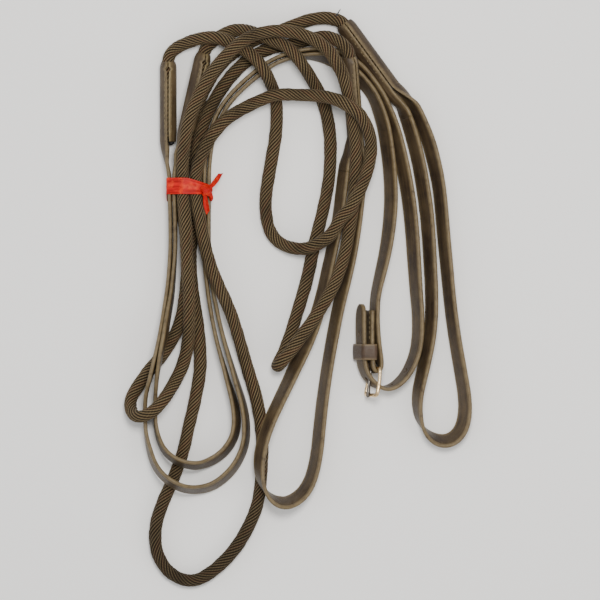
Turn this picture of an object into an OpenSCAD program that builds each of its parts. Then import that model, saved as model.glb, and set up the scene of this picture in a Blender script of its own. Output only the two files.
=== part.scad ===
// A pair of rope draw reins, bundled for storage: two laid ropes, each spliced at both ends
// into leather, two leather hand parts joined by a buckle, two closed girth loops and a ribbon tie.
// Millimetres. The bundle lies on z = 0, +Y runs along its length and +Z points up.

/* [Rope] */
// Diameter of the laid rope
rope_d = 10; // [8:0.5:10]
// Sides of the rope's outline
rope_sides = 10; // [8:1:12]
// Rings swept between two route points
rope_steps = 1; // [1:1:2]

/* [Leather] */
// Width of every strap
strap_w = 16; // [12:0.5:16]
// Thickness of every strap
strap_t = 3.2; // [2.4:0.1:3.2]
// Bevel on the strap's edges
strap_bevel = 0.6; // [0.3:0.1:0.9]
// Outer diameter of the leather splice sleeves
sleeve_d = 13.6; // [13:0.2:13.6]
// Width of the seam opening along a sleeve
seam_gap = 1.2; // [0.6:0.2:2]

/* [Buckle] */
// Wire diameter of the buckle frame
wire_d = 2.8; // [2.2:0.1:2.8]
// Distance from the bar to the cross bar
frame_len = 22; // [20:0.5:24]
// Clear width between the frame's arms
frame_gap = 19; // [18.8:0.1:19.2]
// Diameter of the tongue
tongue_d = 2.4; // [2:0.1:2.6]

/* [Tie] */
// Width of the ribbon
ribbon_w = 12.8; // [8:0.4:14]
// Thickness of the ribbon
ribbon_t = 0.6; // [0.4:0.1:0.8]

/* [Hidden] */

// Route of the near rope's centre line: x, y, z. It leaves sleeve a and ends in sleeve d.
rope_near_route = [
    [-104, 129, 6.4], [-104, 158, 6.4], [-104, 191, 6.4], [-99, 200, 7], [-87, 206, 10.4], [-74, 209, 16],
    [-61, 208, 17.5], [-48, 202, 18.5], [-36, 194, 22], [-28, 184, 24.2], [-22, 173, 15.5], [-18, 162, 7.5],
    [-17, 148, 5], [-18, 130, 5], [-22, 107, 5], [-26, 78, 5], [-23, 56, 5], [-13, 44, 6],
    [3, 40, 13], [14, 43, 17], [26, 51, 20.5], [34, 64, 25], [42, 73, 27], [48, 84, 26.4],
    [54, 98, 23.2], [58, 114, 20], [57.5, 130, 22], [50, 146, 33], [41, 153, 36.5], [30, 159, 33.5],
    [17, 162, 26], [0, 163, 21.5], [-18, 163, 21.2], [-32, 158, 16.5], [-46, 151, 17.5], [-58, 143, 21],
    [-67, 133, 22.5], [-73, 124, 22.6], [-78, 112, 23], [-80.7, 105, 19.8], [-81.6, 97.5, 17], [-81.6, 85, 16.6], [-80.2, 73, 20],
    [-75.5, 48, 22], [-71, 30, 21.8], [-65, 14, 22], [-58, -1, 21.5], [-52, -16, 17], [-46, -36, 9],
    [-40, -57, 5], [-33, -81, 5], [-29, -107, 5], [-29, -134, 5], [-32, -162, 5], [-40, -183, 5],
    [-52, -202, 5], [-67, -217, 5], [-82, -225.5, 5], [-95, -224, 5], [-106, -216, 5], [-113.5, -201, 5],
    [-114, -182, 5], [-109, -165, 5], [-100, -144, 5], [-92, -122, 5], [-87.5, -102, 5], [-82.5, -81, 5],
    [-78.6, -58, 5], [-78.6, -39, 5], [-80.6, -18, 5], [-83.6, 1, 5], [-86, 24, 5], [-86, 42, 5],
    [-83.6, 60, 5.2], [-81.8, 76, 6], [-81.6, 97, 6.4], [-81.6, 108, 9.8], [-80.5, 120, 12.6], [-77, 136, 10.6],
    [-70.3, 153, 6.4], [-60.3, 170, 5], [-46.8, 186, 5], [-32.6, 196.6, 5], [-20, 201.6, 5], [-6, 204, 5],
    [9, 208, 8], [22, 210, 13], [33, 205.6, 19], [40.9, 194.8, 22.5], [43.5, 162, 14.8], [45.8, 133, 8.1]
];
// Route of the far rope's centre line. It leaves sleeve b and ends in sleeve c.
rope_far_route = [
    [-88.6, 137, 19.4], [-82.4, 165, 15.1], [-75.3, 197.2, 10.2], [-70, 204.8, 6.8], [-62, 211, 5.4], [-51, 215.5, 6],
    [-42, 215, 10.5], [-34, 212.5, 15.4], [-27, 209.5, 16.8], [-20, 206.5, 17.5], [-12, 203.5, 19.5], [-4, 197, 22],
    [3, 188, 21.5], [9, 179, 16], [16, 167, 9], [21, 155, 5], [24, 143, 5], [26, 125, 5],
    [25, 98, 5], [20, 71, 5], [13, 43, 5], [7, 15, 5], [-1, -12, 5], [-7, -31, 5],
    [-12, -44, 5], [-16, -52, 7.5], [-16.5, -54, 14], [-12, -49, 19.5], [-4, -39, 20.5], [4, -28, 20.5],
    [12, -17, 20.8], [21, -3, 20.8], [30, 14, 19], [37, 35, 15.5], [41, 56, 14], [44, 75, 15.4],
    [46, 97, 16.5], [46.4, 118, 19.4], [44.5, 138, 23], [41.5, 157, 26], [36, 178, 31], [31, 187.5, 32],
    [25, 197.5, 28], [15, 205.5, 25], [4, 211, 25], [-9, 213.5, 26], [-22, 213.5, 28], [-36, 210, 29],
    [-48, 202.5, 29], [-60, 191, 28], [-71, 177, 28.5], [-80, 160, 29.6], [-86.5, 144, 31.8], [-90, 128, 29.5],
    [-92, 112, 22.4], [-92.3, 98, 16.9], [-92, 84, 16.6], [-90.6, 70, 21], [-89.5, 55, 24.8], [-89, 40, 25.2],
    [-88, 22, 25.2], [-87, 4, 24.6], [-87, -14, 19.5], [-88, -34, 10], [-92, -52, 5.5], [-99, -67, 10],
    [-107, -80, 20], [-115, -89, 22.6], [-123, -93.5, 22.6], [-130, -93.5, 17.6], [-134, -88, 9], [-134, -80, 5.5],
    [-129, -71, 5], [-120, -58, 5], [-109, -45, 5], [-100, -31, 6], [-95, -20, 8.5], [-92, -8, 12],
    [-89.5, 10, 14.8], [-88.5, 30, 15], [-89.5, 50, 14.6], [-91.5, 66, 11.5], [-92.3, 80, 6.6], [-92.2, 96, 6],
    [-90.8, 108, 5.2], [-87.9, 119, 5], [-87, 130, 5], [-83, 148, 5], [-75, 168, 5], [-65, 184.5, 5],
    [-51, 198, 5], [-34, 208, 5], [-16, 214.5, 5], [-2, 220, 5], [10, 224, 5], [21, 225.5, 5.6],
    [30, 224, 6.4], [36, 221, 6.4], [54, 196.4, 6.4], [72, 171.7, 6.4]
];

// Straps: x and y of the centre line, height of the lowest edge, and lean of the width from
// the horizontal, where a lean under 90 has its high edge on the right of the direction of travel.
hand_buckle_route = [
    [-107.2, 125.6, 0, 95], [-105.4, 111, 0.9, 92], [-103, 98, 0.9, 90], [-102.8, 84, 0.9, 90],
    [-102.2, 64, 0, 90], [-102.2, 40, 0, 90], [-103.4, 15, 0, 85], [-106.4, -8, 0, 82], [-110, -30, 8, 82],
    [-114, -47, 10.4, 85], [-118, -63, 10.4, 88], [-121.5, -76, 4, 90], [-122.5, -90, 0, 90], [-122, -106, 0, 92],
    [-119, -121, 2, 100], [-114, -134, 7, 105], [-106, -143.5, 10.4, 108], [-94, -150.5, 10.4, 110],
    [-81, -152.5, 4, 112], [-68, -149.5, 0, 112], [-56.5, -141, 0, 112], [-48, -130, 0, 110],
    [-42.5, -116, 0, 108], [-41.5, -100, 0, 105], [-44, -84, 0, 102], [-49, -67, 0, 98], [-53.5, -52, 0, 95],
    [-58, -37, 0, 92], [-62, -22, 0, 90], [-65.5, -6, 0, 90], [-68.5, 10, 0, 90], [-71, 30, 0, 90],
    [-71.4, 55, 0, 90], [-71.2, 80, 0.9, 90], [-71.2, 96, 0.9, 90], [-70.6, 110, 0, 90], [-67.8, 128, 0, 90],
    [-62.4, 144, 0, 90], [-54.4, 157, 0, 90], [-44.4, 168, 0, 90], [-31.6, 179, 0, 90], [-18, 188.5, 0, 90],
    [-4, 193.3, 0, 92], [12, 194.6, 0, 105], [27, 191.6, 0, 125], [40.6, 183.6, 0, 130], [51.6, 174, 0, 122],
    [59.6, 163.6, 0, 118], [64.6, 152, 0, 120], [69, 137, 0, 122], [72, 118, 0, 122], [74, 98, 0, 122],
    [74.5, 78, 0, 122], [73, 58, 0, 120], [70, 38, 0, 118], [65.5, 18, 0, 116], [62.4, 4, 1.6, 114],
    [61.4, -8, 3.2, 114], [61.6, -22, 3.2, 114], [62.9, -37, 3.2, 114], [64.4, -48, 2.6, 114],
    [64.5, -55.2, 2, 114], [63.5, -57.8, 2.4, 107.5], [61.2, -58.8, 3.4, 90], [58.9, -57.8, 4.4, 72.5],
    [57.9, -55.2, 4.9, 66], [57.4, -49, 4.2, 66], [57, -40, 3.4, 66], [57, -28, 3.2, 66], [57.2, -9, 3.2, 66]
];
hand_billet_route = [
    [-89.9, 132.8, 15.4, 20], [-92, 127, 12.6, 55], [-95.6, 119, 6, 80], [-97.4, 110, 0.9, 90], [-99.1, 98, 0.9, 90],
    [-99.1, 84, 0.9, 90], [-98.4, 64, 0, 90], [-98.4, 40, 0, 90], [-99.6, 20, 0, 86], [-101.4, 2, 0, 83],
    [-104, -14, 4, 82], [-106.5, -30, 10.4, 82], [-110, -46, 10.4, 85], [-112.6, -62, 8, 88], [-114, -76, 2, 90],
    [-114.4, -90, 0, 90], [-113.5, -104, 0, 94], [-110, -116, 3, 100], [-103.5, -125, 9, 105],
    [-94.5, -130.5, 10.4, 108], [-84, -133, 10, 110], [-74, -131.5, 3, 112], [-64.5, -127, 0, 112],
    [-56.5, -119.5, 0, 112], [-51, -109.5, 0, 110], [-49.3, -97, 0, 108], [-51.2, -83, 0, 104], [-55.5, -68, 0, 98],
    [-60, -52, 0, 94], [-64.5, -36, 0, 92], [-68, -20, 0, 90], [-70.8, -4, 0, 90], [-73, 12, 0, 90],
    [-75, 31, 0, 90], [-75.1, 55, 0, 90], [-74.8, 80, 0.9, 90], [-74.8, 96, 0.9, 90], [-74.4, 110, 0, 90],
    [-71.6, 128, 0, 90], [-66, 145.5, 0, 90], [-57.6, 159.5, 0, 90], [-47.2, 171, 0, 90], [-34, 182.5, 0, 90],
    [-20, 192, 0, 90], [-5, 197.2, 0, 92], [13, 198.8, 0, 105], [30, 195.8, 0, 125], [45.6, 186.8, 0, 130],
    [56.4, 176, 0, 122], [65.2, 163.6, 0, 118], [71.6, 150, 0, 120], [77, 135, 0, 122], [82, 116, 0, 122],
    [86.5, 94, 0, 122], [89.5, 74, 0, 122], [91.5, 54, 0, 122], [93, 32, 0, 122], [94.6, 8, 0, 122],
    [96.2, -14, 0, 122], [95.6, -34, 0, 122], [92, -49, 0, 120], [85, -62, 0.8, 114], [76, -70, 2.4, 106],
    [68.5, -71.5, 3.2, 94], [63, -69.4, 3.3, 78], [57.6, -65.2, 3.3, 72], [53.4, -58.8, 3.3, 68], [51, -50, 3.2, 66],
    [50.8, -40, 3.2, 66], [50.4, -28, 3.2, 66], [50.4, -16, 3.2, 66], [50.8, -4, 3.2, 66]
];
girth_far_route = [
    [79.3, 171.4, 0, 112], [86, 164.6, 0, 115], [92.5, 155, 0, 118], [99, 141, 0, 120], [105, 125, 0, 122], [109.5, 108, 0, 122],
    [113, 90, 0, 122], [115.2, 70, 0, 122], [117, 49, 0, 122], [119, 28, 0, 122], [121, 7, 0, 122],
    [123.2, -13, 0, 122], [126.2, -34, 0, 122], [130, -56, 0, 124], [133.2, -76, 0, 126], [133.8, -90, 0, 128],
    [131.6, -102, 0, 130], [126, -110.5, 0, 130], [117.5, -114, 0, 128], [108.5, -111.5, 0, 115], [101.5, -105, 0, 95],
    [97.2, -96, 0, 75], [95.6, -85, 0, 65], [96.4, -74, 0, 60], [99, -62, 0, 58], [102.4, -47, 0, 58],
    [105.4, -31, 0, 58], [107, -13, 0, 58], [107, 7, 0, 58], [106, 28, 0, 58], [104.8, 49, 0, 58],
    [103, 70, 0, 58], [100.2, 90, 0, 58], [96.6, 110, 0, 58], [91, 132, 0, 58], [85, 150, 0, 60], [78.8, 162.6, 0, 65], [75.6, 168.4, 0, 68]
];
girth_near_route = [
    [50.4, 127.4, 0, 110], [50.8, 118, 0, 118], [50.2, 100, 0, 122], [48.6, 80, 0, 122], [46, 58, 0, 122],
    [42.5, 36, 0, 122], [37.6, 14, 0, 122], [32.4, -7, 0, 122], [28.2, -28, 0, 122], [25, -46, 0, 122],
    [22, -65, 0, 122], [19.4, -84, 0, 122], [17.2, -104, 0, 122], [15, -124, 0, 122], [11, -142, 0, 124],
    [4.5, -154.5, 2, 128], [-4.5, -161.5, 6, 128], [-13, -163, 10.4, 122], [-21, -159, 10.4, 105], [-27, -151.5, 10.4, 85],
    [-30.5, -141, 10.4, 70], [-30.6, -127, 10.4, 60], [-27.4, -112, 10.4, 58], [-22.6, -98, 9, 56], [-16.2, -84, 4, 55],
    [-9, -69, 0, 54], [-1.5, -53, 0, 52], [5.4, -38, 0, 50], [11.2, -24, 0, 50], [16.2, -9, 0, 52],
    [20.4, 8, 0, 56], [24.4, 27, 0, 58], [28.4, 45, 0, 60], [32, 64, 0, 60], [34.6, 84, 0, 60],
    [37, 104, 0, 62], [39.2, 119, 0, 68], [41.2, 127.4, 0, 75]
];

// Ends of each sleeve's axis, from the open end where the rope leaves to the end where the strap leaves
sleeve_a_axis = [[-104, 190, 6.4], [-104, 126, 6.4]];
sleeve_b_axis = [[-75.6, 196, 10.4], [-89.2, 134.2, 19.8]];
sleeve_c_axis = [[36.4, 220.4, 6.4], [74, 169, 6.4]];
sleeve_d_axis = [[41, 193.5, 22.2], [46, 130, 7.4]];

// Direction of each seam round its sleeve, where 0 is up and positive turns to the axis's right,
// and the width of each seam's opening
seam_a = [0, seam_gap];
seam_b = [-20, seam_gap];
seam_c = [64, 7];
seam_d = [-110, seam_gap];

sleeve_bore = rope_d + 0.5;
sleeve_flat = 6.4; // height of the axis above the pressed-flat underside
stitch_d = 0.9;
stitch_len = 2.6;
stitch_pitch = 4.2;

// Buckle: middle of the bar, lean of the frame's plane and swing of the frame about the bar
bar_mid = [61.2, -55.2, 11.4];
frame_lean = 24;
frame_swing = -7.5;
arm_offset = (frame_gap + wire_d) / 2;
eye_bore = wire_d / 2 + 0.05; // running clearance of the tongue's eye on the bar
eye_r = (wire_d + tongue_d) / 2 + 0.1; // offset of the tongue's rod from the bar
eye_outer_r = eye_r + tongue_d / 2 + 0.2;
eye_t = tongue_d - 0.5; // the eye is hammered a little thinner than the rod
slot_w = tongue_d + 1.4;

// Keeper: left and right of its inside at the bottom, bottom and top, and how far its top leans
keeper_x = [44.4, 55];
keeper_z = [1.6, 20];
keeper_skew = 7.8;
keeper_t = 1.3;
keeper_y = -36;
keeper_len = 12.8;

whipping_len = 2.4;

// Tie: the bundle's left and right where the ribbon holds it, and the ribbon's middle
tie_left = -104.8;
tie_right = -69.3;
tie_y = 90.4;

function unit(v) = v / norm(v);

// A point on the smooth curve through four route points
function blend4(p, q, r, s, t) =
    q + (r - p) * t / 2 + (2 * p - 5 * q + 4 * r - s) * t * t / 2 + (3 * q - p - 3 * r + s) * t * t * t / 2;

// The route with extra points on the smooth curve between its own
function smooth(route, steps) = [
    for (i = [0:len(route) - 2], k = [0:steps - 1])
        blend4(route[max(i - 1, 0)], route[i], route[i + 1], route[min(i + 2, len(route) - 1)], k / steps),
    route[len(route) - 1]
];

function tangent(points, i) = unit(points[min(i + 1, len(points) - 1)] - points[max(i - 1, 0)]);

// A horizontal direction across the line of travel, and the one that completes the frame
function side_of(t) = unit(cross(t, [0, 0, 1]));
function above_of(t) = cross(side_of(t), t);

function ring_faces(rings, sides) = concat(
    [[for (j = [sides - 1:-1:0]) j]],
    [for (i = [0:rings - 2], j = [0:sides - 1]) let (a = i * sides + j, b = i * sides + (j + 1) % sides)
        [a, b, b + sides, a + sides]],
    [[for (j = [0:sides - 1]) (rings - 1) * sides + j]]
);

// Split each four-cornered face into two triangles
function split_faces(faces) = [
    for (f = faces) each len(f) == 4 ? [[f[0], f[1], f[2]], [f[0], f[2], f[3]]] : [f]
];

// A round cord swept along a route; the direction across it is carried from ring to ring
function carry(points, i, last) =
    i >= len(points) ? [] : let (t = tangent(points, i), s = unit(last - t * (last * t)))
        concat([s], carry(points, i + 1, s));

module cord(route, d, sides, steps) {
    points = smooth(route, steps);
    sideways = carry(points, 0, side_of(tangent(points, 0)));
    ring = [for (i = [0:len(points) - 1], j = [0:sides - 1])
        let (s = sideways[i], n = cross(s, tangent(points, i)), a = 360 * (j + 0.5) / sides)
            points[i] + d / 2 * (cos(a) * s + sin(a) * n)];
    polyhedron(ring, split_faces(ring_faces(len(points), sides)), convexity = 20);
}

// A flat strap swept along a route whose points hold x, y, lowest height and lean
function strap_outline(w, t, b) = [
    [w / 2 - b, -t / 2], [w / 2, 0], [w / 2 - b, t / 2], [b - w / 2, t / 2], [-w / 2, 0], [b - w / 2, -t / 2]
];
function strap_centre(p) = [p[0], p[1], p[2] + (strap_w * abs(sin(p[3])) + strap_t * abs(cos(p[3]))) / 2];

module strap(route, steps) {
    stations = smooth(route, steps);
    centres = [for (p = stations) strap_centre(p)];
    outline = strap_outline(strap_w, strap_t, strap_bevel);
    ring = [for (i = [0:len(centres) - 1], q = outline)
        let (t = tangent(centres, i), s = side_of(t), u = above_of(t), lean = stations[i][3],
             across = cos(lean) * s + sin(lean) * u, through = cos(lean) * u - sin(lean) * s)
            centres[i] + q[0] * across + q[1] * through];
    polyhedron(ring, split_faces(ring_faces(len(centres), len(outline))), convexity = 20);
}

// Put children, drawn along +Z from the origin with +Y as up, on an axis between two points
module along(axis) {
    v = axis[1] - axis[0];
    turn = atan2(v[1], v[0]);
    tilt = acos(v[2] / norm(v));
    translate(axis[0]) rotate([0, tilt, turn]) rotate(90) children();
}
function axis_len(axis) = norm(axis[1] - axis[0]);

module sleeve(axis, seam) {
    color("#5a4a30") along(axis) linear_extrude(axis_len(axis)) difference() {
        circle(d = sleeve_d, $fn = 48);
        circle(d = sleeve_bore, $fn = 48);
        rotate(seam[0]) translate([-seam[1] / 2, 0]) square([seam[1], sleeve_d]);
        translate([-sleeve_d / 2, -sleeve_d - sleeve_flat]) square(sleeve_d);
    }
}

// A row of thread on each side of the seam, each stitch a short round bar let into the leather
module sleeve_stitching(axis, seam) {
    count = floor((axis_len(axis) - 8) / stitch_pitch);
    spread = asin(seam[1] / sleeve_d) + 20;
    color("#2e2418") along(axis)
        for (k = [0:count - 1], side = [-1, 1])
            rotate(seam[0] + side * spread)
                translate([0, sleeve_d / 2, 4 + k * stitch_pitch]) cylinder(d = stitch_d, h = stitch_len, $fn = 16);
}

// Waxed thread round the cut end of the rope, inside the strap end of a sleeve
module whipping(axis, d, offset, proud) {
    color("#1d1712") along(axis) translate([offset, 0, axis_len(axis) - whipping_len])
        cylinder(d = d, h = whipping_len + proud, $fn = 32);
}

// The buckle's own frame: Z along the bar, -Y towards the cross bar
module at_buckle() translate(bar_mid) rotate([0, frame_lean, 0]) rotate(frame_swing) children();

module wire(from, to) {
    v = to - from;
    translate(from) rotate([0, acos(v[2] / norm(v)), atan2(v[1], v[0])]) cylinder(d = wire_d, h = norm(v), $fn = 32);
}

// Slots in the leather that the tongue passes through, at the fold and in the billet
module tongue_slot(near, far) {
    at_buckle() translate([-8, -far, -slot_w / 2]) cube([16, far - near, slot_w]);
}

// A flat strip of ribbon between two points, narrowing to its tip
module ribbon_strip(from, to, wide, tip) {
    v = to - from;
    color("#c82a20") translate(from) rotate([0, asin(-v[2] / norm(v)), atan2(v[1], v[0])])
        linear_extrude(ribbon_t, center = true)
            polygon([[0, -wide / 2], [norm(v), -tip / 2], [norm(v), tip / 2], [0, wide / 2]]);
}

module rope_near() color("#43301a") cord(rope_near_route, rope_d, rope_sides, rope_steps);
module rope_far() color("#4a361e") cord(rope_far_route, rope_d, rope_sides, rope_steps);
module hand_strap_buckle_side() color("#6b5a3a") difference() {
    strap(hand_buckle_route, 1);
    tongue_slot(-5, 9);
}
module hand_strap_billet_side() color("#6b5a3a") difference() {
    strap(hand_billet_route, 1);
    tongue_slot(3.5, 19);
}
module girth_loop_near() color("#6b5a3a") strap(girth_near_route, 2);
module girth_loop_far() color("#6b5a3a") strap(girth_far_route, 2);

module buckle_frame() {
    corners = [[0, 0, arm_offset], [0, -frame_len, arm_offset], [0, -frame_len, -arm_offset], [0, 0, -arm_offset]];
    color("#c9a04a") at_buckle() for (i = [0:3]) {
        wire(corners[i], corners[(i + 1) % 4]);
        translate(corners[i]) sphere(d = wire_d + 0.3, $fn = 32);
    }
}

// The tongue is a rod that rests on the cross bar, with an eye that turns on the bar
module buckle_tongue() {
    color("#5b5b60") at_buckle() difference() {
        union() {
            cylinder(r = eye_outer_r, h = eye_t, center = true, $fn = 48);
            translate([-eye_r, 0, 0]) rotate([90, 0, 0]) cylinder(d = tongue_d, h = frame_len + 2, $fn = 32);
        }
        cylinder(r = eye_bore, h = 2 * tongue_d, center = true, $fn = 48);
    }
}

// A loop of leather sewn between the layers, which holds the billet: a leaning rounded ring
module keeper_outline(grow) {
    offset(r = 1.2 + grow, $fn = 32) polygon([
        [keeper_x[0] + 1.2, keeper_z[0] + 1.2], [keeper_x[1] - 1.2, keeper_z[0] + 1.2],
        [keeper_x[1] + keeper_skew - 1.2, keeper_z[1] - 1.2], [keeper_x[0] + keeper_skew + 1.2, keeper_z[1] - 1.2]
    ]);
}
module fixed_keeper() {
    color("#5a4432") translate([0, keeper_y, 0]) rotate([90, 0, 0]) linear_extrude(keeper_len) difference() {
        keeper_outline(keeper_t);
        keeper_outline(0);
    }
}

// Two rows of thread that close the fold round the bar
module turnback_stitching() {
    color("#2e2418") for (k = [0:4], row = [-1, 1])
        translate([59.6 + row * 2.4, -13 - 4 * k, 11.3 + row * 5.4]) rotate([0, 90 + frame_lean, 0])
            cylinder(d = stitch_d, h = 8.4, center = true, $fn = 16);
}

// The ribbon's path round the bundle, drawn across it
function tie_outline() = [
    [tie_left, ribbon_t], [tie_left, 17.2], [-95.5, 21.2], [-92, 22.2], [-81.6, 22.2], [-78, 21.2],
    [tie_right, 17.2], [tie_right, ribbon_t]
];
module ribbon_band() {
    color("#c82a20") translate([0, tie_y + ribbon_w / 2, 0]) rotate([90, 0, 0]) linear_extrude(ribbon_w) difference() {
        offset(delta = ribbon_t) polygon(tie_outline());
        polygon(tie_outline());
    }
}
module ribbon_knot() {
    color("#b5241c") hull() {
        translate([-74, 87, 22.6]) sphere(r = 2.9, $fn = 24);
        translate([-72.4, 81.4, 22.2]) sphere(r = 2.7, $fn = 24);
    }
}
module ribbon_tail_upper() ribbon_strip([-70.4, 88.6, 23], [-60.6, 100, 9.4], 3.4, 2);
module ribbon_tail_lower() ribbon_strip([-72.6, 79, 21.4], [-72.2, 68, 18.2], 3.6, 3);

module loose_thread() {
    color("#3a4250") translate([30.8, 226.8, 10.4]) rotate([-70, 0, -27]) cylinder(d = 0.8, h = 6, $fn = 16);
}

rope_near();
rope_far();
hand_strap_buckle_side();
hand_strap_billet_side();
girth_loop_near();
girth_loop_far();
sleeve(sleeve_a_axis, seam_a);  // splice_sleeve_a
sleeve(sleeve_b_axis, seam_b);  // splice_sleeve_b
sleeve(sleeve_c_axis, seam_c);  // splice_sleeve_c
sleeve(sleeve_d_axis, seam_d);  // splice_sleeve_d
sleeve_stitching(sleeve_a_axis, seam_a);  // splice_stitching_a
sleeve_stitching(sleeve_b_axis, seam_b);  // splice_stitching_b
sleeve_stitching(sleeve_c_axis, seam_c);  // splice_stitching_c
sleeve_stitching(sleeve_d_axis, seam_d);  // splice_stitching_d
whipping(sleeve_a_axis, 5.2, 2.6, 3);  // rope_whipping_a
whipping(sleeve_b_axis, 9.8, 0, 0);  // rope_whipping_b
whipping(sleeve_c_axis, 9.8, 0, 0);  // rope_whipping_c
whipping(sleeve_d_axis, 9.8, 0, 0);  // rope_whipping_d
buckle_frame();
buckle_tongue();
fixed_keeper();
turnback_stitching();
ribbon_band();
ribbon_knot();
ribbon_tail_upper();
ribbon_tail_lower();
loose_thread();
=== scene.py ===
"""Looks for a bundled pair of rope draw reins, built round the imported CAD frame.

Two laid ropes, each wrapped at both ends in leather, two hand straps joined by a buckle,
two closed girth loops, and a satin ribbon that ties the bundle. Metres, +Y along the bundle, +Z up.
"""
import math

import bpy
import numpy as np
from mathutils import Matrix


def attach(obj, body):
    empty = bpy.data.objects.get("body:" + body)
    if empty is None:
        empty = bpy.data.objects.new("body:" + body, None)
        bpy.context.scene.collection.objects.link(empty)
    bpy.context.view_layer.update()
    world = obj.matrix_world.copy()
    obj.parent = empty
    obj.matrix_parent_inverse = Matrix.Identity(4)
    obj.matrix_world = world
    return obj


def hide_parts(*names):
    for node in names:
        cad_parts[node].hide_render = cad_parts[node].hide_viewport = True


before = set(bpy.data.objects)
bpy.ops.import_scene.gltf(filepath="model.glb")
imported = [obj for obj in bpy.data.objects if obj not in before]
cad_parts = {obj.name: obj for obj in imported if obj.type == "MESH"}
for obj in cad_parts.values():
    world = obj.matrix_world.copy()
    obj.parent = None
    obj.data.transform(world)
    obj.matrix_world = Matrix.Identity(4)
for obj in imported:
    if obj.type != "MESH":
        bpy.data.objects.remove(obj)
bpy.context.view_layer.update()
random = np.random.RandomState(7)

# Sizes shared with the CAD model
ROPE_D = 0.010
STRANDS = 12
LAY_LENGTH = 0.044  # length of rope in which a strand goes once round
YARN_TURNS = 24.0  # turns of the yarns in a strand over that length
STRAP_W = 0.016
STRAP_T = 0.0032
FLATTER_BY = 6  # degrees
SLEEVE_R = 0.0068
SLEEVE_T = 0.0015
SEAM_GAP = 0.00094  # from the seam to the middle of each lip
BAR_MID = (0.0612, -0.0552, 0.0114)
FRAME_LEAN = math.radians(24)
FRAME_SWING = math.radians(-7.5)
FRAME_LEN = 0.022
ARM_OFFSET = 0.0109
WIRE_R = 0.0014
TONGUE_R = 0.0012
EYE_R = 0.0027
KEEPER_Y = (-0.0488, -0.036)
KEEPER_HALF_T = 0.00065
SATIN_HALF_T = 0.00018

# Centre lines of the ropes, and the straps' x, y, lowest height and lean in degrees
ROPE_NEAR_ROUTE = [
    (-0.104, 0.129, 0.0064), (-0.104, 0.158, 0.0064), (-0.104, 0.191, 0.0064), (-0.099, 0.2, 0.007),
    (-0.087, 0.206, 0.0104), (-0.074, 0.209, 0.016), (-0.061, 0.208, 0.0175), (-0.048, 0.202, 0.0185),
    (-0.036, 0.194, 0.022), (-0.028, 0.184, 0.0242), (-0.022, 0.173, 0.0155), (-0.018, 0.162, 0.0075),
    (-0.017, 0.148, 0.005), (-0.018, 0.13, 0.005), (-0.022, 0.107, 0.005), (-0.026, 0.078, 0.005),
    (-0.023, 0.056, 0.005), (-0.013, 0.044, 0.006), (0.003, 0.04, 0.013), (0.014, 0.043, 0.017),
    (0.026, 0.051, 0.0205), (0.034, 0.064, 0.025), (0.042, 0.073, 0.027), (0.048, 0.084, 0.0264),
    (0.054, 0.098, 0.0232), (0.058, 0.114, 0.02), (0.0575, 0.13, 0.022), (0.05, 0.146, 0.033),
    (0.041, 0.153, 0.0365), (0.03, 0.159, 0.0335), (0.017, 0.162, 0.026), (0, 0.163, 0.0215),
    (-0.018, 0.163, 0.0212), (-0.032, 0.158, 0.0165), (-0.046, 0.151, 0.0175), (-0.058, 0.143, 0.021),
    (-0.067, 0.133, 0.0225), (-0.073, 0.124, 0.0226), (-0.078, 0.112, 0.023), (-0.0807, 0.105, 0.0198),
    (-0.0816, 0.0975, 0.017), (-0.0816, 0.085, 0.0166), (-0.0802, 0.073, 0.02), (-0.0755, 0.048, 0.022),
    (-0.071, 0.03, 0.0218), (-0.065, 0.014, 0.022), (-0.058, -0.001, 0.0215), (-0.052, -0.016, 0.017),
    (-0.046, -0.036, 0.009), (-0.04, -0.057, 0.005), (-0.033, -0.081, 0.005), (-0.029, -0.107, 0.005),
    (-0.029, -0.134, 0.005), (-0.032, -0.162, 0.005), (-0.04, -0.183, 0.005), (-0.052, -0.202, 0.005),
    (-0.067, -0.217, 0.005), (-0.082, -0.2255, 0.005), (-0.095, -0.224, 0.005), (-0.106, -0.216, 0.005),
    (-0.1135, -0.201, 0.005), (-0.114, -0.182, 0.005), (-0.109, -0.165, 0.005), (-0.1, -0.144, 0.005),
    (-0.092, -0.122, 0.005), (-0.0875, -0.102, 0.005), (-0.0825, -0.081, 0.005), (-0.0786, -0.058, 0.005),
    (-0.0786, -0.039, 0.005), (-0.0806, -0.018, 0.005), (-0.0836, 0.001, 0.005), (-0.086, 0.024, 0.005),
    (-0.086, 0.042, 0.005), (-0.0836, 0.06, 0.0052), (-0.0818, 0.076, 0.006), (-0.0816, 0.097, 0.0064),
    (-0.0816, 0.108, 0.0098), (-0.0805, 0.12, 0.0126), (-0.077, 0.136, 0.0106), (-0.0703, 0.153, 0.0064),
    (-0.0603, 0.17, 0.005), (-0.0468, 0.186, 0.005), (-0.0326, 0.1966, 0.005), (-0.02, 0.2016, 0.005),
    (-0.006, 0.204, 0.005), (0.009, 0.208, 0.008), (0.022, 0.21, 0.013), (0.033, 0.2056, 0.019),
    (0.0409, 0.1948, 0.0225), (0.0435, 0.162, 0.0148), (0.0458, 0.133, 0.0081),
]
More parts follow.
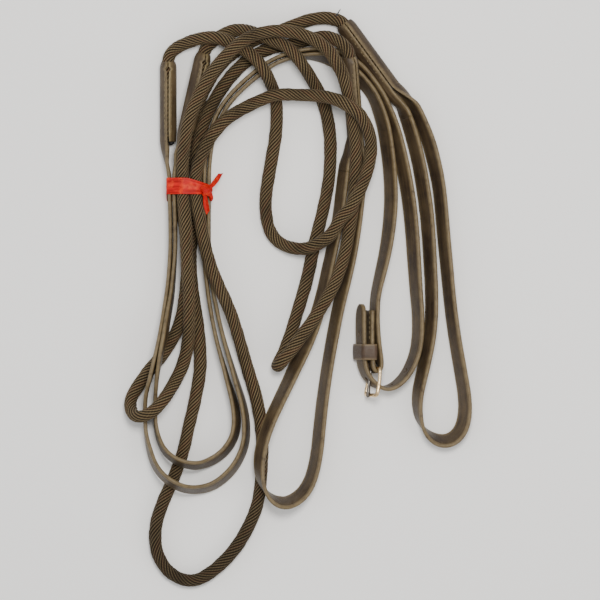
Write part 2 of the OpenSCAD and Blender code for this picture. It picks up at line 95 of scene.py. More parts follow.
ROPE_FAR_ROUTE = [
    (-0.0886, 0.137, 0.0194), (-0.0824, 0.165, 0.0151), (-0.0753, 0.1972, 0.0102),
    (-0.07, 0.2048, 0.0068), (-0.062, 0.211, 0.0054), (-0.051, 0.2155, 0.006), (-0.042, 0.215, 0.0105),
    (-0.034, 0.2125, 0.0154), (-0.027, 0.2095, 0.0168), (-0.02, 0.2065, 0.0175), (-0.012, 0.2035, 0.0195),
    (-0.004, 0.197, 0.022), (0.003, 0.188, 0.0215), (0.009, 0.179, 0.016), (0.016, 0.167, 0.009),
    (0.021, 0.155, 0.005), (0.024, 0.143, 0.005), (0.026, 0.125, 0.005), (0.025, 0.098, 0.005),
    (0.02, 0.071, 0.005), (0.013, 0.043, 0.005), (0.007, 0.015, 0.005), (-0.001, -0.012, 0.005),
    (-0.007, -0.031, 0.005), (-0.012, -0.044, 0.005), (-0.016, -0.052, 0.0075), (-0.0165, -0.054, 0.014),
    (-0.012, -0.049, 0.0195), (-0.004, -0.039, 0.0205), (0.004, -0.028, 0.0205), (0.012, -0.017, 0.0208),
    (0.021, -0.003, 0.0208), (0.03, 0.014, 0.019), (0.037, 0.035, 0.0155), (0.041, 0.056, 0.014),
    (0.044, 0.075, 0.0154), (0.046, 0.097, 0.0165), (0.0464, 0.118, 0.0194), (0.0445, 0.138, 0.023),
    (0.0415, 0.157, 0.026), (0.036, 0.178, 0.031), (0.031, 0.1875, 0.032), (0.025, 0.1975, 0.028),
    (0.015, 0.2055, 0.025), (0.004, 0.211, 0.025), (-0.009, 0.2135, 0.026), (-0.022, 0.2135, 0.028),
    (-0.036, 0.21, 0.029), (-0.048, 0.2025, 0.029), (-0.06, 0.191, 0.028), (-0.071, 0.177, 0.0285),
    (-0.08, 0.16, 0.0296), (-0.0865, 0.144, 0.0318), (-0.09, 0.128, 0.0295), (-0.092, 0.112, 0.0224),
    (-0.0923, 0.098, 0.0169), (-0.092, 0.084, 0.0166), (-0.0906, 0.07, 0.021), (-0.0895, 0.055, 0.0248),
    (-0.089, 0.04, 0.0252), (-0.088, 0.022, 0.0252), (-0.087, 0.004, 0.0246), (-0.087, -0.014, 0.0195),
    (-0.088, -0.034, 0.01), (-0.092, -0.052, 0.0055), (-0.099, -0.067, 0.01), (-0.107, -0.08, 0.02),
    (-0.115, -0.089, 0.0226), (-0.123, -0.0935, 0.0226), (-0.13, -0.0935, 0.0176),
    (-0.134, -0.088, 0.009), (-0.134, -0.08, 0.0055), (-0.129, -0.071, 0.005), (-0.12, -0.058, 0.005),
    (-0.109, -0.045, 0.005), (-0.1, -0.031, 0.006), (-0.095, -0.02, 0.0085), (-0.092, -0.008, 0.012),
    (-0.0895, 0.01, 0.0148), (-0.0885, 0.03, 0.015), (-0.0895, 0.05, 0.0146), (-0.0915, 0.066, 0.0115),
    (-0.0923, 0.08, 0.0066), (-0.0922, 0.096, 0.006), (-0.0908, 0.108, 0.0052), (-0.0879, 0.119, 0.005),
    (-0.087, 0.13, 0.005), (-0.083, 0.148, 0.005), (-0.075, 0.168, 0.005), (-0.065, 0.1845, 0.005),
    (-0.051, 0.198, 0.005), (-0.034, 0.208, 0.005), (-0.016, 0.2145, 0.005), (-0.002, 0.22, 0.005),
    (0.01, 0.224, 0.005), (0.021, 0.2255, 0.0056), (0.03, 0.224, 0.0064), (0.036, 0.221, 0.0064),
    (0.054, 0.1964, 0.0064), (0.072, 0.1717, 0.0064),
]
HAND_BUCKLE_ROUTE = [
    (-0.1072, 0.1256, 0, 95), (-0.1054, 0.111, 0.0009, 92), (-0.103, 0.098, 0.0009, 90),
    (-0.1028, 0.084, 0.0009, 90), (-0.1022, 0.064, 0, 90), (-0.1022, 0.04, 0, 90),
    (-0.1034, 0.015, 0, 85), (-0.1064, -0.008, 0, 82), (-0.11, -0.03, 0.008, 82),
    (-0.114, -0.047, 0.0104, 85), (-0.118, -0.063, 0.0104, 88), (-0.1215, -0.076, 0.004, 90),
    (-0.1225, -0.09, 0, 90), (-0.122, -0.106, 0, 92), (-0.119, -0.121, 0.002, 100),
    (-0.114, -0.134, 0.007, 105), (-0.106, -0.1435, 0.0104, 108), (-0.094, -0.1505, 0.0104, 110),
    (-0.081, -0.1525, 0.004, 112), (-0.068, -0.1495, 0, 112), (-0.0565, -0.141, 0, 112),
    (-0.048, -0.13, 0, 110), (-0.0425, -0.116, 0, 108), (-0.0415, -0.1, 0, 105), (-0.044, -0.084, 0, 102),
    (-0.049, -0.067, 0, 98), (-0.0535, -0.052, 0, 95), (-0.058, -0.037, 0, 92), (-0.062, -0.022, 0, 90),
    (-0.0655, -0.006, 0, 90), (-0.0685, 0.01, 0, 90), (-0.071, 0.03, 0, 90), (-0.0714, 0.055, 0, 90),
    (-0.0712, 0.08, 0.0009, 90), (-0.0712, 0.096, 0.0009, 90), (-0.0706, 0.11, 0, 90),
    (-0.0678, 0.128, 0, 90), (-0.0624, 0.144, 0, 90), (-0.0544, 0.157, 0, 90), (-0.0444, 0.168, 0, 90),
    (-0.0316, 0.179, 0, 90), (-0.018, 0.1885, 0, 90), (-0.004, 0.1933, 0, 92), (0.012, 0.1946, 0, 105),
    (0.027, 0.1916, 0, 125), (0.0406, 0.1836, 0, 130), (0.0516, 0.174, 0, 122), (0.0596, 0.1636, 0, 118),
    (0.0646, 0.152, 0, 120), (0.069, 0.137, 0, 122), (0.072, 0.118, 0, 122), (0.074, 0.098, 0, 122),
    (0.0745, 0.078, 0, 122), (0.073, 0.058, 0, 120), (0.07, 0.038, 0, 118), (0.0655, 0.018, 0, 116),
    (0.0624, 0.004, 0.0016, 114), (0.0614, -0.008, 0.0032, 114), (0.0616, -0.022, 0.0032, 114),
    (0.0629, -0.037, 0.0032, 114), (0.0644, -0.048, 0.0026, 114), (0.0645, -0.0552, 0.002, 114),
    (0.0635, -0.0578, 0.0024, 107.5), (0.0612, -0.0588, 0.0034, 90), (0.0589, -0.0578, 0.0044, 72.5),
    (0.0579, -0.0552, 0.0049, 66), (0.0574, -0.049, 0.0042, 66), (0.057, -0.04, 0.0034, 66),
    (0.057, -0.028, 0.0032, 66), (0.0572, -0.009, 0.0032, 66),
]
HAND_BILLET_ROUTE = [
    (-0.0899, 0.1328, 0.0154, 20), (-0.092, 0.127, 0.0126, 55), (-0.0956, 0.119, 0.006, 80),
    (-0.0974, 0.11, 0.0009, 90), (-0.0991, 0.098, 0.0009, 90), (-0.0991, 0.084, 0.0009, 90),
    (-0.0984, 0.064, 0, 90), (-0.0984, 0.04, 0, 90), (-0.0996, 0.02, 0, 86), (-0.1014, 0.002, 0, 83),
    (-0.104, -0.014, 0.004, 82), (-0.1065, -0.03, 0.0104, 82), (-0.11, -0.046, 0.0104, 85),
    (-0.1126, -0.062, 0.008, 88), (-0.114, -0.076, 0.002, 90), (-0.1144, -0.09, 0, 90),
    (-0.1135, -0.104, 0, 94), (-0.11, -0.116, 0.003, 100), (-0.1035, -0.125, 0.009, 105),
    (-0.0945, -0.1305, 0.0104, 108), (-0.084, -0.133, 0.01, 110), (-0.074, -0.1315, 0.003, 112),
    (-0.0645, -0.127, 0, 112), (-0.0565, -0.1195, 0, 112), (-0.051, -0.1095, 0, 110),
    (-0.0493, -0.097, 0, 108), (-0.0512, -0.083, 0, 104), (-0.0555, -0.068, 0, 98),
    (-0.06, -0.052, 0, 94), (-0.0645, -0.036, 0, 92), (-0.068, -0.02, 0, 90), (-0.0708, -0.004, 0, 90),
    (-0.073, 0.012, 0, 90), (-0.075, 0.031, 0, 90), (-0.0751, 0.055, 0, 90), (-0.0748, 0.08, 0.0009, 90),
    (-0.0748, 0.096, 0.0009, 90), (-0.0744, 0.11, 0, 90), (-0.0716, 0.128, 0, 90),
    (-0.066, 0.1455, 0, 90), (-0.0576, 0.1595, 0, 90), (-0.0472, 0.171, 0, 90), (-0.034, 0.1825, 0, 90),
    (-0.02, 0.192, 0, 90), (-0.005, 0.1972, 0, 92), (0.013, 0.1988, 0, 105), (0.03, 0.1958, 0, 125),
    (0.0456, 0.1868, 0, 130), (0.0564, 0.176, 0, 122), (0.0652, 0.1636, 0, 118), (0.0716, 0.15, 0, 120),
    (0.077, 0.135, 0, 122), (0.082, 0.116, 0, 122), (0.0865, 0.094, 0, 122), (0.0895, 0.074, 0, 122),
    (0.0915, 0.054, 0, 122), (0.093, 0.032, 0, 122), (0.0946, 0.008, 0, 122), (0.0962, -0.014, 0, 122),
    (0.0956, -0.034, 0, 122), (0.092, -0.049, 0, 120), (0.085, -0.062, 0.0008, 114),
    (0.076, -0.07, 0.0024, 106), (0.0685, -0.0715, 0.0032, 94), (0.063, -0.0694, 0.0033, 78),
    (0.0576, -0.0652, 0.0033, 72), (0.0534, -0.0588, 0.0033, 68), (0.051, -0.05, 0.0032, 66),
    (0.0508, -0.04, 0.0032, 66), (0.0504, -0.028, 0.0032, 66), (0.0504, -0.016, 0.0032, 66),
    (0.0508, -0.004, 0.0032, 66),
]
GIRTH_FAR_ROUTE = [
    (0.0793, 0.1714, 0, 112), (0.086, 0.1646, 0, 115), (0.0925, 0.155, 0, 118), (0.099, 0.141, 0, 120),
    (0.105, 0.125, 0, 122), (0.1095, 0.108, 0, 122), (0.113, 0.09, 0, 122), (0.1152, 0.07, 0, 122),
    (0.117, 0.049, 0, 122), (0.119, 0.028, 0, 122), (0.121, 0.007, 0, 122), (0.1232, -0.013, 0, 122),
    (0.1262, -0.034, 0, 122), (0.13, -0.056, 0, 124), (0.1332, -0.076, 0, 126), (0.1338, -0.09, 0, 128),
    (0.1316, -0.102, 0, 130), (0.126, -0.1105, 0, 130), (0.1175, -0.114, 0, 128),
    (0.1085, -0.1115, 0, 115), (0.1015, -0.105, 0, 95), (0.0972, -0.096, 0, 75), (0.0956, -0.085, 0, 65),
    (0.0964, -0.074, 0, 60), (0.099, -0.062, 0, 58), (0.1024, -0.047, 0, 58), (0.1054, -0.031, 0, 58),
    (0.107, -0.013, 0, 58), (0.107, 0.007, 0, 58), (0.106, 0.028, 0, 58), (0.1048, 0.049, 0, 58),
    (0.103, 0.07, 0, 58), (0.1002, 0.09, 0, 58), (0.0966, 0.11, 0, 58), (0.091, 0.132, 0, 58),
    (0.085, 0.15, 0, 60), (0.0788, 0.1626, 0, 65), (0.0756, 0.1684, 0, 68),
]
GIRTH_NEAR_ROUTE = [
    (0.0504, 0.1274, 0, 110), (0.0508, 0.118, 0, 118), (0.0502, 0.1, 0, 122), (0.0486, 0.08, 0, 122),
    (0.046, 0.058, 0, 122), (0.0425, 0.036, 0, 122), (0.0376, 0.014, 0, 122), (0.0324, -0.007, 0, 122),
    (0.0282, -0.028, 0, 122), (0.025, -0.046, 0, 122), (0.022, -0.065, 0, 122), (0.0194, -0.084, 0, 122),
    (0.0172, -0.104, 0, 122), (0.015, -0.124, 0, 122), (0.011, -0.142, 0, 124),
    (0.0045, -0.1545, 0.002, 128), (-0.0045, -0.1615, 0.006, 128), (-0.013, -0.163, 0.0104, 122),
    (-0.021, -0.159, 0.0104, 105), (-0.027, -0.1515, 0.0104, 85), (-0.0305, -0.141, 0.0104, 70),
    (-0.0306, -0.127, 0.0104, 60), (-0.0274, -0.112, 0.0104, 58), (-0.0226, -0.098, 0.009, 56),
    (-0.0162, -0.084, 0.004, 55), (-0.009, -0.069, 0, 54), (-0.0015, -0.053, 0, 52),
    (0.0054, -0.038, 0, 50), (0.0112, -0.024, 0, 50), (0.0162, -0.009, 0, 52), (0.0204, 0.008, 0, 56),
    (0.0244, 0.027, 0, 58), (0.0284, 0.045, 0, 60), (0.032, 0.064, 0, 60), (0.0346, 0.084, 0, 60),
    (0.037, 0.104, 0, 62), (0.0392, 0.119, 0, 68), (0.0412, 0.1274, 0, 75),
]
SLEEVE_A = ((-0.104, 0.19, 0.0064), (-0.104, 0.126, 0.0064))
SLEEVE_B = ((-0.0756, 0.196, 0.0104), (-0.0892, 0.1342, 0.0198))
SLEEVE_C = ((0.0364, 0.2204, 0.0064), (0.074, 0.169, 0.0064))
SLEEVE_D = ((0.041, 0.1935, 0.0222), (0.046, 0.13, 0.0074))


# ---------------------------------------------------------------- curves and meshes

def unit(v):
    v = np.asarray(v, float)
    return v / np.linalg.norm(v, axis=-1, keepdims=True)


def along_route(route, step, soften):
    """Points a step apart on the smooth curve through the route, with its kinks rounded off."""
    points = np.array(route, float)
    padded = np.vstack([points[:1], points, points[-1:]])
    t = np.linspace(0, 1, 24, endpoint=False)[:, None]
    pieces = []
    for p, q, r, s in zip(padded, padded[1:], padded[2:], padded[3:]):
        pieces.append(
            q + (r - p) * t / 2 + (2 * p - 5 * q + 4 * r - s) * t**2 / 2 + (3 * q - p - 3 * r + s) * t**3 / 2
        )
    dense = np.vstack(pieces + [points[-1:]])
    for _ in range(2):
        arc = np.concatenate([[0], np.cumsum(np.linalg.norm(np.diff(dense[:, :3], axis=0), axis=1))])
        count = max(2, int(round(arc[-1] / step)) + 1)
        even = np.linspace(0, arc[-1], count)
        dense = np.stack([np.interp(even, arc, column) for column in dense.T], axis=1)
        if soften <= 0:
            break
        reach = int(3 * soften / step)
        weights = np.exp(-0.5 * (np.arange(-reach, reach + 1) * step / soften) ** 2)
        weights /= weights.sum()
        first, last = dense[0], dense[-1]
        before = 2 * first - dense[reach:0:-1]
        after = 2 * last - dense[-2:-reach - 2:-1]
        long = np.vstack([before, dense, after])
        dense = np.stack([np.convolve(column, weights, "valid") for column in long.T], axis=1)
    return dense


def arc_length(line):
    return np.concatenate([[0], np.cumsum(np.linalg.norm(np.diff(line[:, :3], axis=0), axis=1))])


def tangents(line):
    return unit(np.gradient(line[:, :3], axis=0))


def carried_frame(line):
    """Travel, and two directions across it that turn as little as they can."""
    t = tangents(line)
    side = np.zeros_like(t)
    side[0] = unit(np.cross(t[0], (0, 0, 1)))
    for i in range(1, len(t)):
        side[i] = unit(side[i - 1] - t[i] * (side[i - 1] @ t[i]))
    return t, side, np.cross(t, side)


def add_piece(name, verts, faces, material, body="root", replaces=(), uvs=None, marks=None):
    """A smooth-shaded mesh object that rides on a body. marks are named numbers, one for each vertex."""
    mesh = bpy.data.meshes.new(name)
    mesh.from_pydata(np.asarray(verts).tolist(), [], [list(map(int, f)) for f in faces])
    mesh.polygons.foreach_set("use_smooth", [True] * len(mesh.polygons))
    if uvs is not None:
        layer = mesh.uv_layers.new(name="uv")
        layer.data.foreach_set("uv", np.asarray(uvs, np.float32).ravel())
    for mark, values in (marks or {}).items():
        attribute = mesh.attributes.new(mark, "FLOAT", "POINT")
        attribute.data.foreach_set("value", np.asarray(values, np.float32))
    mesh.materials.append(material)
    mesh.validate()
    piece = bpy.data.objects.new(name, mesh)
    bpy.context.scene.collection.objects.link(piece)
    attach(piece, body)
    if replaces:
        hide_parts(*replaces)
    return piece


def tube_mesh(rings, around, along, looped=False):
    """Faces and UVs of a skin over rings of points. around has one more value than a ring has points."""
    count, sides = rings.shape[:2]
    last = count if looped else count - 1
    i, j = np.meshgrid(np.arange(last), np.arange(sides), indexing="ij")
    nxt, wrap = (i + 1) % count, (j + 1) % sides
    faces = np.stack([i * sides + j, i * sides + wrap, nxt * sides + wrap, nxt * sides + j], -1).reshape(-1, 4)
    u = np.stack([around[j], around[j + 1], around[j + 1], around[j]], -1).reshape(-1)
    v = np.stack([along[i], along[i], along[i + 1], along[i + 1]], -1).reshape(-1)
    faces = faces.tolist()
    uvs = np.stack([u, v], -1).tolist()
    if not looped:
        faces.append(list(range(sides))[::-1])
        faces.append([(count - 1) * sides + k for k in range(sides)])
        uvs += [[around[k], along[0]] for k in range(sides)][::-1]
        uvs += [[around[k], along[-1]] for k in range(sides)]
    return rings.reshape(-1, 3), faces, uvs


def joined(parts):
    """One list of vertices, faces and UVs from several."""
    verts, faces, uvs, base = [], [], [], 0
    for v, f, uv in parts:
        verts.append(np.asarray(v))
        faces += [[base + k for k in face] for face in f]
        uvs += list(uv)
        base += len(v)
    return np.vstack(verts), faces, uvs


def swept_rod(line, radii, sides=16, flat=1.0, toward=None):
    """A round rod along a line, closed where its radii shrink to nothing. flat squeezes it along toward."""
    t, side, over = carried_frame(line)
    if toward is not None:
        over = unit(np.asarray(toward, float) - t * (t @ np.asarray(toward, float))[:, None])
        side = np.cross(over, t)
    angle = 2 * math.pi * np.arange(sides) / sides
    radii = np.broadcast_to(radii, len(line))[:, None, None]
    ring = np.cos(angle)[None, :, None] * side[:, None] + flat * np.sin(angle)[None, :, None] * over[:, None]
    rings = line[:, None, :3] + radii * ring
    return tube_mesh(rings, np.arange(sides + 1) / sides, arc_length(line))


def rounded_ends(length, count, radius):
    """Distances along a rod and its radii there, with half-round ends."""
    inner = np.linspace(radius, length - radius, max(2, count))
    a = np.linspace(0.12, math.pi / 2, 5)[:-1]
    s = np.concatenate([radius * (1 - np.cos(a)), inner, length - radius * (1 - np.cos(a[::-1]))])
    r = np.concatenate([radius * np.sin(a), np.full(len(inner), radius), radius * np.sin(a[::-1])])
    return s, r


# ---------------------------------------------------------------- leather sheets

# Places across a sheet from its top edge (1) to its bottom edge (-1), and the crease pressed along each edge
HALF_ACROSS = np.array([1, 0.93, 0.87, 0.83, 0.79, 0.72, 0.5, 0.25])
ACROSS = np.concatenate([HALF_ACROSS, [0], -HALF_ACROSS[::-1]])
CREASE = -0.00016 * np.exp(-((np.abs(ACROSS) - 0.83) / 0.035) ** 2) - 0.00012 * np.abs(ACROSS) ** 3
EDGE_TURN = np.linspace(0, math.pi, 7)[1:-1]


def sheet_rings(lines, normals, half_t):
    """Rings of points round a thick sheet, whose middle is given by lines across it and outward normals."""
    half_t = np.broadcast_to(half_t, lines.shape[:2])[..., None]
    crease = CREASE[None, :, None] * (half_t / (STRAP_T / 2))
    outer = lines + normals * (half_t + crease)
    inner = (lines - normals * (half_t + crease))[:, ::-1]
    rings = [outer]
    for end, before in ((-1, -2), (0, 1)):
        out = unit(lines[:, end] - lines[:, before])[:, None]
        n = normals[:, end][:, None] * (1 if end == -1 else -1)
        h = half_t[:, end][:, None]
        turn = EDGE_TURN[None, :, None]
        rounded = lines[:, end][:, None] + h * (np.cos(turn) * n + np.sin(turn) * out)
        rings.append(rounded)
        if end == -1:
            rings.append(inner)
    return np.concatenate(rings, axis=1)


def edge_highlight_marks():
    """1 on the rounded edges of a sheet, fading to 0 across the outer part of its faces, for one ring of points:
    where the leather is painted with a highlight.
    """
    face = np.clip((np.abs(ACROSS) - 0.7) / 0.3, 0, 1) ** 1.5
    return np.concatenate([face, np.ones(len(EDGE_TURN)), face[::-1], np.ones(len(EDGE_TURN))])


def leather_piece(name, lines, normals, half_t, material, replaces, along, looped=False, body="root"):
    rings = sheet_rings(lines, normals, half_t)
    closed_ring = np.concatenate([rings, rings[:, :1]], axis=1)
    around = np.concatenate([[0], np.cumsum(np.linalg.norm(np.diff(closed_ring, axis=1), axis=2).mean(0))])
    verts, faces, uvs = tube_mesh(rings, around, along, looped)
    marks = {"edge": np.tile(edge_highlight_marks(), len(rings))}
    return add_piece(name, verts, faces, material, body, replaces, uvs, marks)


def strap_lines(route, step, waver):
    """Lines across a strap along its route, their normals, and the distance along it."""
    stations = along_route(route, step, 0.0016)
    # On the right of the bundle the straps lie a little flatter than their CAD solids, to close the gaps between them
    x, y, lean = stations[:, 0], stations[:, 1], stations[:, 3]
    flatter = np.exp(-(((x - 0.09) / 0.035) ** 4) - (((y - 0.085) / 0.075) ** 4))
    lean = np.radians(lean - FLATTER_BY * flatter * np.sign(np.sin(2 * np.radians(lean))))
    s = arc_length(stations)
    centre = stations[:, :3].copy()
    centre[:, 2] += (STRAP_W * np.abs(np.sin(lean)) + STRAP_T * np.abs(np.cos(lean))) / 2
    phase = random.uniform(0, 6.28, 3)
    ripple = np.sin(s / 0.021 + phase[0]) + np.sin(s / 0.047 + phase[1]) + np.sin(s / 0.013 + phase[2]) / 2
    lean = lean + waver * ripple
    t = tangents(centre)
    side = unit(np.cross(t, (0, 0, 1)))
    above = np.cross(side, t)
    c, sn = np.cos(lean)[:, None], np.sin(lean)[:, None]
    across, through = c * side + sn * above, c * above - sn * side
    half_w = (STRAP_W - STRAP_T) / 2
    lines = centre[:, None] + across[:, None] * (ACROSS * half_w)[None, :, None]
    normals = np.repeat(through[:, None], len(ACROSS), axis=1)
    return lines, normals, s


def axis_frame(axis):
    """Start, length and the directions of travel, right and up of a sleeve's axis."""
    start, end = np.array(axis, float)
    t = unit(end - start)
    right = unit(np.cross(t, (0, 0, 1)))
    return start, np.linalg.norm(end - start), t, right, np.cross(right, t)


def sleeve_panel(axis, seam, side, step=0.001, hole=None, wide=0.0):
    """One half of the leather wrapped round a rope: from the lip at the seam, round one side, to underneath.

    side is 1 for the half on the right of travel and -1 for the left. seam is an angle from up towards the right.
    hole is the distance along the sleeve and the radius of a round notch at the lips. wide flattens the half.
    """
    start, length, t, right, up = axis_frame(axis)
    s = np.arange(0, length + step / 2, step)
    share = (1 - ACROSS) / 2
    lines, normals = [], []
    for d in s:
        radius = SLEEVE_R - SLEEVE_T / 2 - 0.0011 * np.clip(1 - d / 0.006, 0, 1) ** 2
        opening = SEAM_GAP
        if hole:
            at, hole_r = hole
            opening += math.sqrt(max(0.0, hole_r**2 - (d - at) ** 2))
            opening += 0.0004 * math.exp(-((d - at - 0.004) / 0.003) ** 2)
        first = opening / radius
        a = first + (math.pi - first) * share
        lip = 0.0011 * np.exp(-((share * math.pi * radius) / 0.0019) ** 2) * np.clip(d / 0.004, 0, 1)
        squash = 1 + wide * np.sin(a) ** 2
        theta = seam + side * a
        r = (radius + lip) * squash
        outward = np.cos(theta)[:, None] * up + np.sin(theta)[:, None] * right
        lines.append(start + t * d + r[:, None] * outward)
        normals.append(outward)
    return np.array(lines), np.array(normals), s


def blended(panel, strap, join):
    """The panel's lines, then the strap's, melting into each other over the join's length after the panel's end."""
    p_lines, p_normals, _ = panel
    lines, normals, s = strap
    count = int(np.searchsorted(s, join))
    w = np.linspace(0, 1, count + 1)[1:, None, None]
    w = w * w * (3 - 2 * w)
    turned = 1.0 if (p_normals[-1].mean(0) @ normals[0].mean(0)) > 0 else -1.0
    p_middle, middle = p_lines[-1].mean(0), lines.mean(1, keepdims=True)
    shape = p_lines[-1] - p_middle
    ahead = middle[1:count + 1] + (p_middle - middle[0]) + shape
    melted = ahead * (1 - w) + lines[1:count + 1] * w
    melted_n = unit(p_normals[-1][None] * (1 - w) + turned * normals[1:count + 1] * w)
    all_lines = np.concatenate([p_lines, melted, lines[count + 1:]])
    all_normals = np.concatenate([p_normals, melted_n, turned * normals[count + 1:]])
    p_half = np.full(len(p_lines), SLEEVE_T / 2)
    grown = SLEEVE_T / 2 + (STRAP_T / 2 - SLEEVE_T / 2) * np.clip(np.linspace(0, 1.4, count), 0, 1)
    half_t = np.concatenate([p_half, grown, np.full(len(lines) - count - 1, STRAP_T / 2)])
    return all_lines, all_normals, half_t[:, None]


def lines_length(lines):
    return arc_length(lines.mean(1))


def stitches(name, points, ways, normals, material, slot, replaces, size, body="root"):
    """A row of thread stitches: short bars with rounded ends, let into the leather."""
    length, radius = size
    parts = []
    for p, way, n in zip(points, ways, normals):
        s, r = rounded_ends(length, 3, radius)
        bow = 0.35 * radius * np.sin(np.pi * s / length)
        line = p + np.outer(s - length / 2, way) + np.outer(bow, n)
        parts.append(swept_rod(line, r, sides=8, flat=0.8, toward=n))
    verts, faces, uvs = joined(parts)
    return add_piece(name, verts, faces, material, body, replaces, uvs)


def lip_stitches(axis, seam, sides, start, stop, pitch, inset, slant=0.0):
    """Places, directions and normals for stitches beside a sleeve's seam."""
    origin, _, t, right, up = axis_frame(axis)
    places, ways, outs = [], [], []
    count = int((stop - start) / pitch)
    for k in range(count):
        for side in sides:
            theta = seam + side * inset / SLEEVE_R
            out = math.cos(theta) * up + math.sin(theta) * right
            turn = slant * (1 if k % 2 else -1)
            across = np.cross(t, out)
            places.append(origin + t * (start + (k + 0.5) * pitch) + out * (SLEEVE_R + 0.0003))
            ways.append(math.cos(turn) * t + math.sin(turn) * across)
            outs.append(out)
    return places, ways, outs


# ---------------------------------------------------------------- materials

class Nodes:
    """Short forms for building one material's node tree."""

    def __init__(self, name):
        self.material = bpy.data.materials.new(name)
        self.material.use_nodes = True
        self.tree = self.material.node_tree
        self.shader = self.tree.nodes["Principled BSDF"]

    def add(self, kind, inputs=None, **settings):
        node = self.tree.nodes.new(kind)
        for key, value in settings.items():
            setattr(node, key, value)
        for key, value in (inputs or {}).items():
            self.put(node.inputs[key], value)
        return node

    def put(self, socket, value):
        if isinstance(value, bpy.types.NodeSocket):
            self.tree.links.new(value, socket)
        elif hasattr(socket.default_value, "__len__") and len(value) == 3 and len(socket.default_value) == 4:
            socket.default_value = (*value, 1)
        else:
            socket.default_value = value

    def math(self, operation, a, b=0.0, c=0.0):
        node = self.add("ShaderNodeMath", operation=operation)
        for socket, value in zip(node.inputs, (a, b, c)):
            self.put(socket, value)
        return node.outputs[0]

    def ramp(self, value, low, high, to_low=0.0, to_high=1.0):
        node = self.add("ShaderNodeMapRange", {"Value": value, "From Min": low, "From Max": high,
                                               "To Min": to_low, "To Max": to_high})
        return node.outputs["Result"]

    def mix(self, share, a, b, blend="MIX"):
        node = self.add("ShaderNodeMix", data_type="RGBA", blend_type=blend)
        self.put(node.inputs["Factor"], share)
        self.put(node.inputs[6], a)
        self.put(node.inputs[7], b)
        return node.outputs[2]

    def noise(self, where, scale, detail=3.0, rough=0.55, distortion=0.0):
        node = self.add("ShaderNodeTexNoise", {"Vector": where, "Scale": scale, "Detail": detail,
                                               "Roughness": rough, "Distortion": distortion})
        return node.outputs["Fac"]

    def scaled(self, where, scale):
        return self.add("ShaderNodeMapping", {"Vector": where, "Scale": scale}).outputs["Vector"]

    def bump(self, height, distance, strength=1.0, normal=None):
        node = self.add("ShaderNodeBump", {"Height": height, "Distance": distance, "Strength": strength})
        if normal is not None:
            self.put(node.inputs["Normal"], normal)
        return node.outputs["Normal"]


def rope_material(name, dark, base, light, red):
    """Laid strands of twisted yarn, with painted shade in the grooves between strands and a painted highlight along
    each crest. The u of the UVs counts strands and v counts turns of the lay.
    """
    m = Nodes(name)
    uv = m.add("ShaderNodeUVMap", uv_map="uv").outputs["UV"]
    here = m.add("ShaderNodeTexCoord").outputs["Object"]
    parts = m.add("ShaderNodeSeparateXYZ", {"Vector": uv})
    u, v = parts.outputs["X"], parts.outputs["Y"]
    within = m.math("MULTIPLY", m.math("ABSOLUTE", m.math("SUBTRACT", m.math("FRACT", u), 0.5)), 2.0)
    strand = m.add("ShaderNodeTexWhiteNoise", {"W": m.math("FLOOR", u)}, noise_dimensions="1D").outputs["Value"]
    turn = m.math("ADD", m.math("DIVIDE", u, float(STRANDS)), v)
    yarn = m.math("SINE", m.math("MULTIPLY", turn, 2 * math.pi * YARN_TURNS))
    fibre = m.noise(m.scaled(uv, (5.0, 26.0, 1.0)), 3.0, 4.0, 0.65)
    blotch = m.noise(here, 38.0, 3.0)
    fleck = m.noise(here, 900.0, 2.0)
    # painted shade: each strand darkens towards the grooves on either side of it
    colour = m.mix(m.ramp(within, 0.3, 0.82), base, dark)
    # painted highlight: a light streak along each strand's crest, broken up by fibre and yarn twist
    lit = m.math("MULTIPLY", m.ramp(within, 0.62, 0.08), m.ramp(fibre, 0.36, 0.62, 0.35, 1.0))
    lit = m.math("MULTIPLY", lit, m.ramp(yarn, -0.9, 0.5, 0.45, 1.0))
    colour = m.mix(m.math("MULTIPLY", lit, 0.9), colour, light)
    colour = m.mix(m.math("MULTIPLY", m.ramp(blotch, 0.52, 0.75), 0.45), colour, dark)
    colour = m.mix(m.math("MULTIPLY", m.ramp(strand, 0.6, 1.0), 0.18), colour, red)
    # light specks of standing fibre, painted in the highlight colour as glints
    colour = m.mix(m.math("MULTIPLY", m.ramp(fleck, 0.62, 0.72), 0.35), colour, light)
    along_bundle = m.add("ShaderNodeSeparateXYZ", {"Vector": here}).outputs["Y"]
    colour = m.mix(m.ramp(along_bundle, -0.12, -0.19, 0.0, 0.45), colour, dark)
    m.put(m.shader.inputs["Base Color"], colour)
    m.put(m.shader.inputs["Roughness"], m.ramp(fibre, 0.3, 0.8, 0.62, 0.9))
    height = m.math("ADD", m.math("MULTIPLY", yarn, 0.35), m.math("MULTIPLY", fibre, 1.2))
    height = m.math("ADD", height, m.math("MULTIPLY", fleck, 0.5))
    m.put(m.shader.inputs["Normal"], m.bump(height, 0.00012, 0.9))
    m.shader.inputs["Sheen Weight"].default_value = 0.06
    m.shader.inputs["Sheen Roughness"].default_value = 0.5
    m.shader.inputs["Specular IOR Level"].default_value = 0.14
    return m.material


